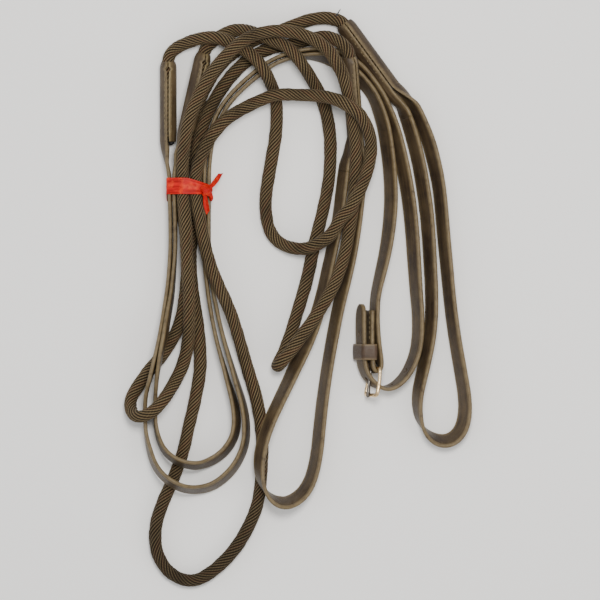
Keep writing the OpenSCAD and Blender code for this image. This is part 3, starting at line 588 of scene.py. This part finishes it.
def leather_material(name, dark, base, edge_highlight_colour, scuff, rough=0.46):
    """Waxed bridle leather: fine grain, streaks along its length, and a highlight painted on its rounded edges,
    broken up in patches. UVs are in metres.
    """
    m = Nodes(name)
    uv = m.add("ShaderNodeUVMap", uv_map="uv").outputs["UV"]
    here = m.add("ShaderNodeTexCoord").outputs["Object"]
    edge = m.add("ShaderNodeAttribute", attribute_name="edge").outputs["Fac"]
    streak = m.noise(m.scaled(uv, (520.0, 22.0, 1.0)), 1.0, 4.0, 0.6)
    patch = m.noise(here, 46.0, 4.0, 0.6)
    worn = m.noise(here, 240.0, 3.0, 0.6)
    cells = m.add("ShaderNodeTexVoronoi", {"Vector": uv, "Scale": 1500.0}, feature="DISTANCE_TO_EDGE")
    grain = cells.outputs["Distance"]
    pores = m.noise(uv, 2600.0, 2.0)
    colour = m.mix(m.ramp(patch, 0.35, 0.68), dark, base)
    colour = m.mix(m.math("MULTIPLY", m.ramp(streak, 0.45, 0.7), 0.45), colour, scuff)
    # painted highlight: the rounded edges are mixed toward a lighter tan, patchy where the wear noise is low
    painted_edge_highlight = m.math("MULTIPLY", m.ramp(edge, 0.05, 0.8), m.ramp(worn, 0.3, 0.6, 0.45, 1.0))
    colour = m.mix(m.math("MULTIPLY", painted_edge_highlight, 0.9), colour, edge_highlight_colour)
    colour = m.mix(m.math("MULTIPLY", m.ramp(worn, 0.66, 0.74), 0.4), colour, scuff)
    colour = m.mix(m.math("MULTIPLY", m.ramp(worn, 0.36, 0.26), 0.5), colour, dark)
    m.put(m.shader.inputs["Base Color"], colour)
    roughness = m.math("ADD", m.ramp(streak, 0.3, 0.8, rough - 0.08, rough + 0.14), m.math("MULTIPLY", edge, -0.03))
    m.put(m.shader.inputs["Roughness"], roughness)
    height = m.math("ADD", m.ramp(grain, 0.0, 0.25), m.math("MULTIPLY", streak, 1.6))
    height = m.math("ADD", height, m.math("MULTIPLY", pores, 0.5))
    m.put(m.shader.inputs["Normal"], m.bump(height, 0.00006, 0.7))
    m.shader.inputs["Specular IOR Level"].default_value = 0.3
    return m.material


def thread_material(name, colour, light, scale):
    """Waxed thread: a fine twist along each stitch."""
    m = Nodes(name)
    uv = m.add("ShaderNodeUVMap", uv_map="uv").outputs["UV"]
    here = m.add("ShaderNodeTexCoord").outputs["Object"]
    parts = m.add("ShaderNodeSeparateXYZ", {"Vector": uv})
    ply = m.math("SINE", m.math("ADD", m.math("MULTIPLY", parts.outputs["X"], 2 * math.pi * 3),
                                m.math("MULTIPLY", parts.outputs["Y"], 6.28 / scale)))
    dirt = m.noise(here, 420.0, 3.0)
    m.put(m.shader.inputs["Base Color"], m.mix(m.ramp(dirt, 0.35, 0.65), colour, light))
    m.put(m.shader.inputs["Roughness"], m.ramp(dirt, 0.3, 0.7, 0.5, 0.75))
    m.put(m.shader.inputs["Normal"], m.bump(ply, 0.00008, 0.8))
    return m.material


def metal_material(name, colour, dull, rough, scratch=1.0):
    """Handled metal: fine scratches, and duller tarnish in patches."""
    m = Nodes(name)
    here = m.add("ShaderNodeTexCoord").outputs["Object"]
    tarnish = m.noise(here, 260.0, 4.0, 0.6)
    lines = m.noise(m.scaled(here, (900.0, 180.0, 900.0)), 2.0, 3.0)
    m.put(m.shader.inputs["Base Color"], m.mix(m.ramp(tarnish, 0.48, 0.7), colour, dull))
    m.shader.inputs["Metallic"].default_value = 1.0
    m.put(m.shader.inputs["Roughness"], m.ramp(tarnish, 0.35, 0.75, rough, rough + 0.22))
    m.put(m.shader.inputs["Normal"], m.bump(lines, 0.00002 * scratch, 0.5))
    return m.material


def ribbon_material(name, red, crease_shade_red, painted_sheen_red):
    """Satin: fine threads across the ribbon's width and creases along its length, with painted shade in the creases
    and patches of painted sheen.
    """
    m = Nodes(name)
    uv = m.add("ShaderNodeUVMap", uv_map="uv").outputs["UV"]
    here = m.add("ShaderNodeTexCoord").outputs["Object"]
    weave = m.noise(m.scaled(uv, (120.0, 5200.0, 1.0)), 1.0, 2.0)
    crease = m.noise(m.scaled(uv, (420.0, 60.0, 1.0)), 1.0, 4.0, 0.65)
    patch = m.noise(here, 190.0, 3.0)
    # painted shade: the red darkens along the sunken creases
    colour = m.mix(m.ramp(crease, 0.35, 0.65), crease_shade_red, red)
    # painted highlight: patches of brighter orange-red stand in for the satin's sheen
    colour = m.mix(m.math("MULTIPLY", m.ramp(patch, 0.5, 0.75), 0.5), colour, painted_sheen_red)
    m.put(m.shader.inputs["Base Color"], colour)
    m.put(m.shader.inputs["Roughness"], m.ramp(weave, 0.3, 0.7, 0.42, 0.56))
    height = m.math("ADD", m.math("MULTIPLY", weave, 0.4), crease)
    m.put(m.shader.inputs["Normal"], m.bump(height, 0.00012, 0.7))
    m.shader.inputs["Anisotropic"].default_value = 0.5
    m.shader.inputs["Specular IOR Level"].default_value = 0.15
    m.shader.inputs["Sheen Weight"].default_value = 0.08
    m.shader.inputs["Sheen Tint"].default_value = (1.0, 0.25, 0.12, 1)
    return m.material


# rope colours: the dark one also paints shade in the strand grooves, the light one paints the crest highlights and
# glints
rope_look = rope_material("laid_rope", (0.005, 0.003, 0.001), (0.048, 0.031, 0.013), (0.225, 0.168, 0.088),
                          (0.12, 0.03, 0.015))
# the fourth colour of each leather is the highlight painted on its rounded edges
leather_look = leather_material("bridle_leather", (0.024, 0.014, 0.008), (0.066, 0.044, 0.022),
                                (0.158, 0.116, 0.058), (0.12, 0.085, 0.043))
sleeve_look = leather_material("splice_leather", (0.045, 0.029, 0.014), (0.105, 0.072, 0.036),
                               (0.21, 0.16, 0.08), (0.16, 0.118, 0.06), 0.5)
keeper_look = leather_material("keeper_leather", (0.028, 0.016, 0.010), (0.062, 0.036, 0.021),
                               (0.13, 0.09, 0.045), (0.10, 0.066, 0.036), 0.42)
thread_look = thread_material("stitching_thread", (0.075, 0.056, 0.024), (0.17, 0.13, 0.062), 0.0007)
dark_thread_look = thread_material("whipping_twine", (0.010, 0.009, 0.010), (0.03, 0.027, 0.028), 0.0006)
blue_thread_look = thread_material("loose_end_thread", (0.008, 0.011, 0.016), (0.03, 0.036, 0.046), 0.0008)
brass_look = metal_material("brass", (0.80, 0.60, 0.34), (0.40, 0.27, 0.14), 0.24)
steel_look = metal_material("tongue_steel", (0.17, 0.155, 0.14), (0.07, 0.062, 0.056), 0.38, 2.0)
# red satin colours: the deep red paints shade in the creases, the orange-red paints the sheen patches
ribbon_look = ribbon_material("red_satin", (0.56, 0.006, 0.004), (0.26, 0.002, 0.002), (0.95, 0.085, 0.010))


# ---------------------------------------------------------------- camera, lights and floor

def aim(thing, target):
    direction = np.array(target) - np.array(thing.location)
    flat = math.hypot(direction[0], direction[1])
    turn = math.atan2(direction[1], direction[0]) - math.pi / 2
    thing.rotation_euler = (math.atan2(flat, -direction[2]), 0, turn)


def make_camera(centre, view_width, lens):
    data = bpy.data.cameras.new("camera")
    data.lens = lens
    distance = view_width / 2 / (data.sensor_width / 2 / lens)
    camera = bpy.data.objects.new("camera", data)
    camera.location = (centre[0], centre[1], centre[2] + distance)
    camera.rotation_euler = (0, 0, 0)
    bpy.context.scene.collection.objects.link(camera)
    bpy.context.scene.camera = camera


def make_light(name, place, size, power, colour, target=(0, 0, 0.01)):
    data = bpy.data.lights.new(name, "AREA")
    data.shape = "DISK"
    data.size, data.energy, data.color = size, power, colour
    light = bpy.data.objects.new(name, data)
    light.location = place
    aim(light, target)
    bpy.context.scene.collection.objects.link(light)


def make_stage():
    bpy.ops.mesh.primitive_plane_add(size=6, location=(0, 0, -0.0004))
    floor = bpy.context.object
    floor.name = "floor"
    paper = Nodes("pale_floor")
    paper.shader.inputs["Base Color"].default_value = (0.9, 0.9, 0.9, 1)
    paper.shader.inputs["Roughness"].default_value = 0.9
    floor.data.materials.append(paper.material)
    world = bpy.data.worlds.new("studio")
    world.use_nodes = True
    world.node_tree.nodes["Background"].inputs["Color"].default_value = (1.0, 0.985, 0.96, 1)
    world.node_tree.nodes["Background"].inputs["Strength"].default_value = 0.75
    bpy.context.scene.world = world


make_camera((0.0016, -0.0008, 0.014), 0.48, 300)
make_light("overhead", (0.1, 0.35, 1.5), 0.5, 21, (1.0, 0.97, 0.92))
make_light("window_left", (-1.5, -0.1, 0.5), 0.9, 4, (0.80, 0.88, 1.0))
make_light("fill_right", (1.2, -0.6, 1.0), 1.0, 5, (1.0, 0.97, 0.93))
make_stage()


# ---------------------------------------------------------------- ropes

def make_rope(name, route, node, material):
    """Twelve strands laid round a core, swept along the route."""
    line = along_route(route, 0.002, 0.002)
    _, side, over = carried_frame(line)
    s = arc_length(line)
    sides = STRANDS * 6
    angle = 2 * math.pi * np.arange(sides) / sides
    place = (angle * STRANDS / (2 * math.pi)) % 1 * 2 - 1
    lobe = np.sqrt(1 - (0.985 * place) ** 2)
    strand_no = np.floor(angle * STRANDS / (2 * math.pi) + 1e-6).astype(int) % STRANDS
    proud = random.normal(0, 0.00007, STRANDS)[strand_no]
    swell = 0.00012 * np.sin(s / 0.019 + random.uniform(0, 6))[:, None]
    uneven = 0.00009 * np.sin(s[:, None] / 0.0055 + 2.1 * strand_no[None, :])
    radius = ROPE_D / 2 + 0.00012 - 0.0011 * (1 - lobe)[None, :] + proud[None, :] + swell + uneven
    turned = angle[None, :] + 2 * math.pi * s[:, None] / LAY_LENGTH
    rings = line[:, None, :3] + radius[..., None] * (
        np.cos(turned)[..., None] * side[:, None] + np.sin(turned)[..., None] * over[:, None]
    )
    around = np.arange(sides + 1) * STRANDS / sides
    verts, faces, uvs = tube_mesh(rings, around, s / LAY_LENGTH)
    piece = add_piece(name, verts, faces, material, replaces=[node], uvs=uvs)
    return piece


make_rope("laid_rope_near", ROPE_NEAR_ROUTE, "rope_near", rope_look)
make_rope("laid_rope_far", ROPE_FAR_ROUTE, "rope_far", rope_look)


# ---------------------------------------------------------------- leather straps and splice sleeves

def rounded_tip(lines, s, length):
    """Narrow the last length of a strap to a round tip."""
    left = np.clip(s[-1] - s, 0, length) / length
    width = np.sqrt(np.clip(1 - (1 - left) ** 2, 0.02, 1))[:, None, None]
    middle = lines.mean(1, keepdims=True)
    return middle + (lines - middle) * width


def cut_with(piece, cutters):
    """Cut slots and holes through a piece, with cutters that are then removed."""
    for cutter in cutters:
        cut = piece.modifiers.new("cut", "BOOLEAN")
        cut.operation = "DIFFERENCE"
        cut.object = cutter
        cut.solver = "EXACT"
    bpy.context.view_layer.update()
    evaluated = piece.evaluated_get(bpy.context.evaluated_depsgraph_get())
    mesh = bpy.data.meshes.new_from_object(evaluated)
    piece.modifiers.clear()
    piece.data = mesh
    mesh.polygons.foreach_set("use_smooth", [True] * len(mesh.polygons))
    for cutter in cutters:
        bpy.data.objects.remove(cutter)


def slot_cutter(centre, through, way, length, width, depth):
    """A rod with a long round-ended outline, to cut a slot: through is its axis and way its long direction."""
    through, way = unit(through), unit(way)
    other = np.cross(through, way)
    a = np.linspace(0, 2 * math.pi, 24, endpoint=False)
    outline = np.outer(np.cos(a) * width / 2 + np.sign(np.cos(a)) * (length - width) / 2, way)
    outline += np.outer(np.sin(a) * width / 2, other)
    rings = np.array([centre + outline + through * d for d in (-depth / 2, depth / 2)])
    verts, faces, _ = tube_mesh(rings, np.arange(25.0), np.array([0.0, 1.0]))
    mesh = bpy.data.meshes.new("cutter")
    mesh.from_pydata(verts.tolist(), [], faces)
    cutter = bpy.data.objects.new("cutter", mesh)
    bpy.context.scene.collection.objects.link(cutter)
    cutter.hide_render = True
    return cutter


def strap_from_sleeve(name, node, route, panel, join, waver=0.012, tip=0.0):
    """A strap that starts as one half of a splice sleeve. Returns it and the lines across it."""
    lines, normals, s = strap_lines(route, 0.002, waver)
    if tip:
        lines = rounded_tip(lines, s, tip)
    all_lines, all_normals, half_t = blended(panel, (lines, normals, s), join)
    piece = leather_piece(name, all_lines, all_normals, half_t, leather_look, [node],
                          lines_length(all_lines))
    return piece, lines, normals


def sleeve_piece(name, node, panel, thin_end=0.012):
    """The half of a splice sleeve that stops at the sleeve's end, pared thin there."""
    lines, normals, s = panel
    half_t = SLEEVE_T / 2 * np.clip(0.35 + (s[-1] - s) / thin_end, 0.35, 1)
    return leather_piece(name, lines, normals, half_t[:, None], sleeve_look, [node], s)


SEAM_B, SEAM_C, SEAM_D = math.radians(-20), math.radians(-8), math.radians(-35)
NOTCH_A = (0.006, 0.0013)
NOTCH_B = (0.008, 0.0013)

buckle_strap, buckle_lines, buckle_normals = strap_from_sleeve(
    "hand_strap_with_buckle", "hand_strap_buckle_side", HAND_BUCKLE_ROUTE,
    sleeve_panel(SLEEVE_A, 0, 1, hole=NOTCH_A), 0.02)
sleeve_piece("splice_wrap_a", "splice_sleeve_a", sleeve_panel(SLEEVE_A, 0, -1, hole=NOTCH_A))

billet_strap, billet_lines, billet_normals = strap_from_sleeve(
    "hand_strap_with_billet", "hand_strap_billet_side", HAND_BILLET_ROUTE,
    sleeve_panel(SLEEVE_B, SEAM_B, 1, hole=NOTCH_B), 0.018, tip=0.011)
sleeve_piece("splice_wrap_b", "splice_sleeve_b", sleeve_panel(SLEEVE_B, SEAM_B, -1, hole=NOTCH_B))


def girth_loop(name, node, wrap_name, wrap_node, route, outer_panel, inner_panel, join=0.016, overlap=0.018):
    """A closed loop whose two ends are the two halves of a splice sleeve. Its last stretch belongs to the wrap."""
    lines, normals, s = strap_lines(route, 0.002, 0.012)
    kept = s < s[-1] - overlap
    all_lines, all_normals, half_t = blended(outer_panel, (lines[kept], normals[kept], s[kept]), join)
    leather_piece(name, all_lines, all_normals, half_t, leather_look, [node], lines_length(all_lines))
    back = slice(None, None, -1)
    b_lines, b_normals, b_s = lines[back], normals[back], s[-1] - s[back]
    near = b_s < overlap + 0.0025
    all_lines, all_normals, half_t = blended(inner_panel, (b_lines[near], b_normals[near], b_s[near]), join)
    leather_piece(wrap_name, all_lines, all_normals, half_t, leather_look, [wrap_node],
                  lines_length(all_lines))


girth_loop("girth_loop_strap_far", "girth_loop_far", "splice_wrap_c", "splice_sleeve_c", GIRTH_FAR_ROUTE,
           sleeve_panel(SLEEVE_C, SEAM_C, -1, wide=0.3),
           sleeve_panel(SLEEVE_C, SEAM_C, 1, wide=0.12), join=0.022, overlap=0.024)
girth_loop("girth_loop_strap_near", "girth_loop_near", "splice_wrap_d", "splice_sleeve_d", GIRTH_NEAR_ROUTE,
           sleeve_panel(SLEEVE_D, SEAM_D, -1), sleeve_panel(SLEEVE_D, SEAM_D, 1), join=0.022, overlap=0.024)


# ---------------------------------------------------------------- stitching and rope ends

STITCH = (0.0027, 0.00045)
STITCH_PITCH = 0.0042

for letter, axis, seam, sides, slant in (
    ("a", SLEEVE_A, 0, (-1, 1), 0.0),
    ("b", SLEEVE_B, SEAM_B, (-1, 1), 0.0),
    ("c", SLEEVE_C, SEAM_C, (-1, 1), math.radians(32)),
    ("d", SLEEVE_D, SEAM_D, (-1, 1), 0.0),
):
    reach = axis_frame(axis)[1]
    places, ways, outs = lip_stitches(axis, seam, sides, 0.012, reach - 0.003, STITCH_PITCH, 0.0026, slant)
    stitches("stitching_" + letter, places, ways, outs, thread_look, "thread",
             ["splice_stitching_" + letter], STITCH)

rows = []
for y in np.arange(-0.011, -0.032, -0.0042):
    for layer in (slice(0, int(len(buckle_lines) * 0.93)), slice(int(len(buckle_lines) * 0.962), None)):
        middle = buckle_lines[layer].mean(1)
        near = int(np.argmin(np.abs(middle[:, 1] - y) + (middle[:, 0] < 0.05)))
        for across in (5, 11):
            n = buckle_normals[layer][near][across]
            way = unit(middle[min(near + 1, len(middle) - 1)] - middle[near - 1])
            rows.append((buckle_lines[layer][near][across] + n * (STRAP_T / 2 + 0.0001), way, n))
stitches("stitching_turnback", *zip(*rows), thread_look, "thread", ["turnback_stitching"], STITCH)


def whipping(name, node, axis, radius, to_left, start, length):
    """The cut end of a rope, bound with turns of waxed twine and domed at its tip."""
    origin, reach, t, right, _ = axis_frame(axis)
    s, r = rounded_ends(length, 40, radius)
    turns = 0.00016 * np.abs(np.sin(np.pi * s / 0.0009)) * (s < length * 0.75)
    line = origin - right * to_left + np.outer(reach + start + s, t)
    verts, faces, uvs = swept_rod(line, r - 0.0001 + turns, sides=28)
    add_piece(name, verts, faces, dark_thread_look, replaces=[node], uvs=uvs)


whipping("rope_end_a", "rope_whipping_a", SLEEVE_A, 0.0026, 0.0026, -0.0028, 0.0054)
for letter, axis in (("b", SLEEVE_B), ("c", SLEEVE_C), ("d", SLEEVE_D)):
    whipping("rope_end_" + letter, "rope_whipping_" + letter, axis, 0.0048, 0.0, -0.003, 0.0036)

thread_s = np.linspace(0, 0.0066, 24)
thread_way = np.array((0.427, 0.837, 0.342))
plies = []
for turn in (0, math.pi):
    curl = 0.00022 * np.stack([np.cos(thread_s / 0.0006 + turn), np.sin(thread_s / 0.0006 + turn), 0 * thread_s], 1)
    line = np.array((0.0307, 0.2266, 0.0103)) + np.outer(thread_s, thread_way) + curl
    line[:, 0] += 0.0006 * (thread_s / 0.0066) ** 2
    plies.append(swept_rod(line, 0.00050 * np.clip(1.25 - thread_s / 0.0066, 0.3, 1), sides=8))
verts, faces, uvs = joined(plies)
add_piece("loose_thread_end", verts, faces, blue_thread_look, replaces=["loose_thread"], uvs=uvs)


# ---------------------------------------------------------------- buckle, tongue and keeper

def rounded_loop(corners, radius, step):
    """Points round a closed outline, with its corners turned into arcs."""
    corners = np.array(corners, float)
    points = []
    for before, corner, after in zip(np.roll(corners, 1, 0), corners, np.roll(corners, -1, 0)):
        into, out = unit(corner - before), unit(after - corner)
        bend = math.acos(np.clip(into @ out, -1, 1))
        shorter = min(np.linalg.norm(corner - before), np.linalg.norm(after - corner))
        cut = min(radius * math.tan(bend / 2), shorter / 2.05)
        start, end = corner - into * cut, corner + out * cut
        for w in np.linspace(0, 1, max(3, int(bend * radius / step) + 2)):
            points.append(start * (1 - w) ** 2 + corner * 2 * w * (1 - w) + end * w**2)
    points = np.array(points + points[:1])
    arc = arc_length(points)
    even = np.linspace(0, arc[-1], int(arc[-1] / step) + 1)[:-1]
    return np.stack([np.interp(even, arc, column) for column in points.T], 1), even, arc[-1]


def in_buckle(points):
    """Points from the buckle's own frame, whose z runs along the bar and -y to the cross bar, in the row frame."""
    c, s = math.cos(FRAME_SWING), math.sin(FRAME_SWING)
    swing = np.array(((c, -s, 0), (s, c, 0), (0, 0, 1)))
    c, s = math.cos(FRAME_LEAN), math.sin(FRAME_LEAN)
    lean = np.array(((c, 0, s), (0, 1, 0), (-s, 0, c)))
    return np.asarray(points) @ (lean @ swing).T + np.array(BAR_MID)


outline, along, around_length = rounded_loop(
    [(0, ARM_OFFSET), (-FRAME_LEN, ARM_OFFSET), (-FRAME_LEN, -ARM_OFFSET), (0, -ARM_OFFSET)], 0.0034, 0.0006)
local = np.column_stack([np.zeros(len(outline)), outline])
local[:, 0] += 0.0007 * np.sin(np.clip(-outline[:, 0] / FRAME_LEN, 0, 1) * math.pi)
way = unit(np.roll(local, -1, 0) - np.roll(local, 1, 0))
over = np.cross(way, (1, 0, 0))
turn = np.linspace(0, 2 * math.pi, 20, endpoint=False)
heavy = WIRE_R * (1 + 0.14 * np.clip((-outline[:, 0] - 0.004) / 0.018, 0, 1))
rings = local[:, None] + heavy[:, None, None] * (
    np.cos(turn)[None, :, None] * np.array((1.0, 0, 0)) + np.sin(turn)[None, :, None] * over[:, None])
verts, faces, uvs = tube_mesh(rings, np.arange(21) / 20, np.append(along, around_length), looped=True)
add_piece("brass_buckle", in_buckle(verts), faces, brass_look, "buckle", ["buckle_frame"], uvs)

hook = np.radians(np.linspace(-88, 180, 34))
eye = np.column_stack([EYE_R * np.cos(hook), EYE_R * np.sin(hook), 0 * hook])
reach = np.linspace(0.0008, FRAME_LEN + 0.0022, 30)
rod = np.column_stack([-EYE_R - 0.0004 * np.sin(reach / 0.024 * math.pi), -reach, 0 * reach])
line = np.vstack([eye, rod])
s = arc_length(line)
widening = 1 + 0.4 * np.clip((s - s[-1] + 0.012) / 0.01, 0, 1)
tip = np.sqrt(np.clip(1 - np.clip((s - s[-1] + 0.0016) / 0.0016, 0, 0.99) ** 2, 0, 1))
heel = np.clip(0.35 + s / 0.002, 0, 1)
verts, faces, uvs = swept_rod(line, TONGUE_R * widening * tip * heel, sides=16, flat=0.9, toward=(0, 0, 1))
add_piece("buckle_tongue_rod", in_buckle(verts), faces, steel_look, "tongue", ["buckle_tongue"], uvs)

def closed_band(corners, radius, step, facing):
    """An outline in the XZ plane as lines across a band, not yet placed in Y, with its normals and distances."""
    outline, along, length = rounded_loop(corners, radius, step)
    way = np.roll(outline, -1, 0) - np.roll(outline, 1, 0)
    out = unit(np.column_stack([facing * way[:, 1], 0 * way[:, 0], -facing * way[:, 0]]))
    lines = np.zeros((len(outline), len(ACROSS), 3))
    lines[..., 0], lines[..., 2] = outline[:, :1], outline[:, 1:]
    return outline, lines, np.repeat(out[:, None], len(ACROSS), axis=1), along, length


KEEPER_CORNERS = [(0.0437, 0.00095), (0.0554, 0.00095), (0.0637, 0.02065), (0.0521, 0.02065)]
_, lines, normals, along, around_length = closed_band(KEEPER_CORNERS, 0.0024, 0.0008, 1)
keeper_mid, keeper_half = sum(KEEPER_Y) / 2, (KEEPER_Y[1] - KEEPER_Y[0]) / 2 - 0.0006
lines[..., 1] = keeper_mid + keeper_half * ACROSS
lines += normals * (0.00025 * (1 - ACROSS**2))[None, :, None]
leather_piece("keeper_loop", lines, normals, KEEPER_HALF_T, keeper_look,
              ["fixed_keeper"], np.append(along, around_length), looped=True)

to_cross = unit(in_buckle([(0, -1, 0)])[0] - np.array(BAR_MID))
bar_way = unit(in_buckle([(0, 0, 1)])[0] - np.array(BAR_MID))
frame_out = np.cross(bar_way, to_cross)
fold = in_buckle([(0, -0.003, 0)])[0]
cut_with(buckle_strap, [slot_cutter(fold, frame_out, to_cross, 0.014, 0.0038, 0.016)])
billet_middle = billet_lines.mean(1)
tongue_line = in_buckle([(-EYE_R, -d, 0) for d in np.linspace(0.004, 0.02, 60)])
gaps = np.linalg.norm(billet_middle[:, None] - tongue_line[None], axis=2)
hole_at, _ = np.unravel_index(np.argmin(gaps), gaps.shape)
arc = arc_length(billet_middle)
cutters = []
for step in (0, 1, 2, -1, -2):
    k = int(np.argmin(np.abs(arc - (arc[hole_at] + step * 0.019))))
    if k >= len(arc) - 4:
        continue
    travel = unit(billet_middle[k + 1] - billet_middle[k - 1])
    size = (0.0075, 0.0036) if step == 0 else (0.0042, 0.0030)
    cutters.append(slot_cutter(billet_middle[k], billet_normals[k][8], travel, *size, 0.005))
cut_with(billet_strap, cutters)


# ---------------------------------------------------------------- ribbon tie

TIE_CORNERS = [(-0.1051, 0.0003), (-0.1051, 0.0174), (-0.0956, 0.0216), (-0.092, 0.0225),
               (-0.0816, 0.0225), (-0.0778, 0.0214), (-0.069, 0.0174), (-0.069, 0.0003)]
outline, lines, normals, along, around_length = closed_band(TIE_CORNERS, 0.0018, 0.0006, -1)
share = along / around_length
middle_of = {name: share[np.argmin(np.linalg.norm(outline - np.array(p), axis=1))] for name, p in (
    ("left_low", (-0.1051, 0.001)), ("left_high", (-0.1051, 0.0174)), ("top", (-0.088, 0.0225)),
    ("near_knot", (-0.0745, 0.0199)), ("right_high", (-0.069, 0.0174)), ("right_low", (-0.069, 0.001)))}
stops = [middle_of[k] for k in ("left_low", "left_high", "top", "near_knot", "right_high", "right_low")]
order = np.argsort(stops)
upper = np.array([0.0915, 0.0968, 0.0966, 0.0925, 0.0905, 0.0905])[order]
lower = np.array([0.0785, 0.0840, 0.0840, 0.0838, 0.0800, 0.0785])[order]
stops = np.array(stops)[order]
top_edge = np.interp(share, stops, upper, period=1.0)
low_edge = np.interp(share, stops, lower, period=1.0)
lines[..., 1] = (top_edge + low_edge)[:, None] / 2 + (top_edge - low_edge)[:, None] / 2 * ACROSS
near_knot = np.exp(-((share - middle_of["near_knot"]) / 0.09) ** 2)
folds = np.sin(ACROSS[None, :] * 7.5 + 2.0 + 5 * share[:, None])
folds = folds + 0.5 * np.sin(ACROSS[None, :] * 15 + 9 * share[:, None])
raised = (0.00006 + 0.00042 * near_knot)[:, None] * folds + 0.0005 * near_knot[:, None] + 0.00008
lines += normals * np.clip(raised, 0.00002, None)[..., None] * (outline[:, 1:] > 0.002)[..., None]
band = leather_piece("satin_band", lines, normals, SATIN_HALF_T, ribbon_look,
                     ["ribbon_band"], np.append(along, around_length), looped=True)


def crumpled_rod(line, radii, ridges, depth, flat=0.8, toward=(0, 0, 1), turns=1.0):
    """A gathered roll of ribbon: a rod whose skin has folds that run along it."""
    verts, faces, uvs = swept_rod(line, radii, sides=32, flat=flat, toward=toward)
    rings = verts.reshape(len(line), 32, 3)
    angle = 2 * math.pi * np.arange(32) / 32
    s = arc_length(line) / arc_length(line)[-1]
    fold = 1 - depth * (0.5 + 0.5 * np.sin(ridges * angle[None, :] + turns * 2 * math.pi * s[:, None]))
    rings = line[:, None] + (rings - line[:, None]) * fold[..., None]
    return rings.reshape(-1, 3), faces, uvs


def bow(points, count):
    return along_route(points, arc_length(np.array(points, float))[-1] / count, 0.0004)[:, :3]


def closed_in(count, most, ends):
    """Radii that swell to most between two thinner ends."""
    return ends + (most - ends) * np.sin(np.linspace(0, math.pi, count)) ** 0.6


knot_lines = (
    ([(-0.0772, 0.0888, 0.0226), (-0.0748, 0.0872, 0.0240), (-0.0722, 0.0850, 0.0241), (-0.0706, 0.0826, 0.0222)],
     0.0026, 0.0012, 5),
    ([(-0.0757, 0.0825, 0.0222), (-0.0740, 0.0850, 0.0246), (-0.0716, 0.0876, 0.0248), (-0.0698, 0.0893, 0.0226)],
     0.0018, 0.0010, 4),
    ([(-0.0716, 0.0868, 0.0226), (-0.0700, 0.0838, 0.0214), (-0.0694, 0.0806, 0.0190), (-0.0693, 0.0786, 0.0166)],
     0.0019, 0.0010, 4),
)
parts = []
for points, most, ends, ridges in knot_lines:
    line = bow(points, 26)
    parts.append(crumpled_rod(line, closed_in(len(line), most, ends), ridges, 0.3))
verts, faces, uvs = joined(parts)
knot = add_piece("satin_knot", verts, faces, ribbon_look, replaces=["ribbon_knot"], uvs=uvs)


def ribbon_tail(name, node, points, widths, twist):
    """A narrow end of ribbon, folded along its middle and turning as it goes."""
    line = bow(points, 40)
    t, side, over = carried_frame(line)
    share = arc_length(line) / arc_length(line)[-1]
    width = np.interp(share, np.linspace(0, 1, len(widths)), widths)
    angle = (twist[0] + (twist[1] - twist[0]) * share)[:, None]
    wide = np.cos(angle) * side + np.sin(angle) * over
    face = np.cos(angle) * over - np.sin(angle) * side
    sag = np.abs(ACROSS) ** 1.4
    slant = 0.0012 * np.clip((share - 0.9) / 0.1, 0, 1)
    lines = line[:, None] + wide[:, None] * (width[:, None] / 2 * ACROSS)[..., None]
    lines = lines - face[:, None] * (width[:, None] * 0.22 * sag)[..., None]
    lines = lines + t[:, None] * (slant[:, None] * ACROSS)[..., None]
    normals = unit(face[:, None] + wide[:, None] * (0.5 * ACROSS)[None, :, None])
    return leather_piece(name, lines, normals, SATIN_HALF_T - 0.00001, ribbon_look, [node], share * 0.02)


tail_upper = ribbon_tail("satin_tail_upper", "ribbon_tail_upper",
                         [(-0.0722, 0.0868, 0.0238), (-0.0692, 0.0903, 0.0225), (-0.0655, 0.0948, 0.0175),
                          (-0.0618, 0.1003, 0.0105)],
                         (0.0022, 0.0036, 0.0036, 0.0026), (0.5, -0.3))
tail_lower = ribbon_tail("satin_tail_lower", "ribbon_tail_lower",
                         [(-0.0745, 0.0846, 0.0236), (-0.0742, 0.0800, 0.0222), (-0.0732, 0.0745, 0.0200),
                          (-0.0718, 0.0690, 0.0184)],
                         (0.0022, 0.0034, 0.0040, 0.0030), (-0.4, 0.25))
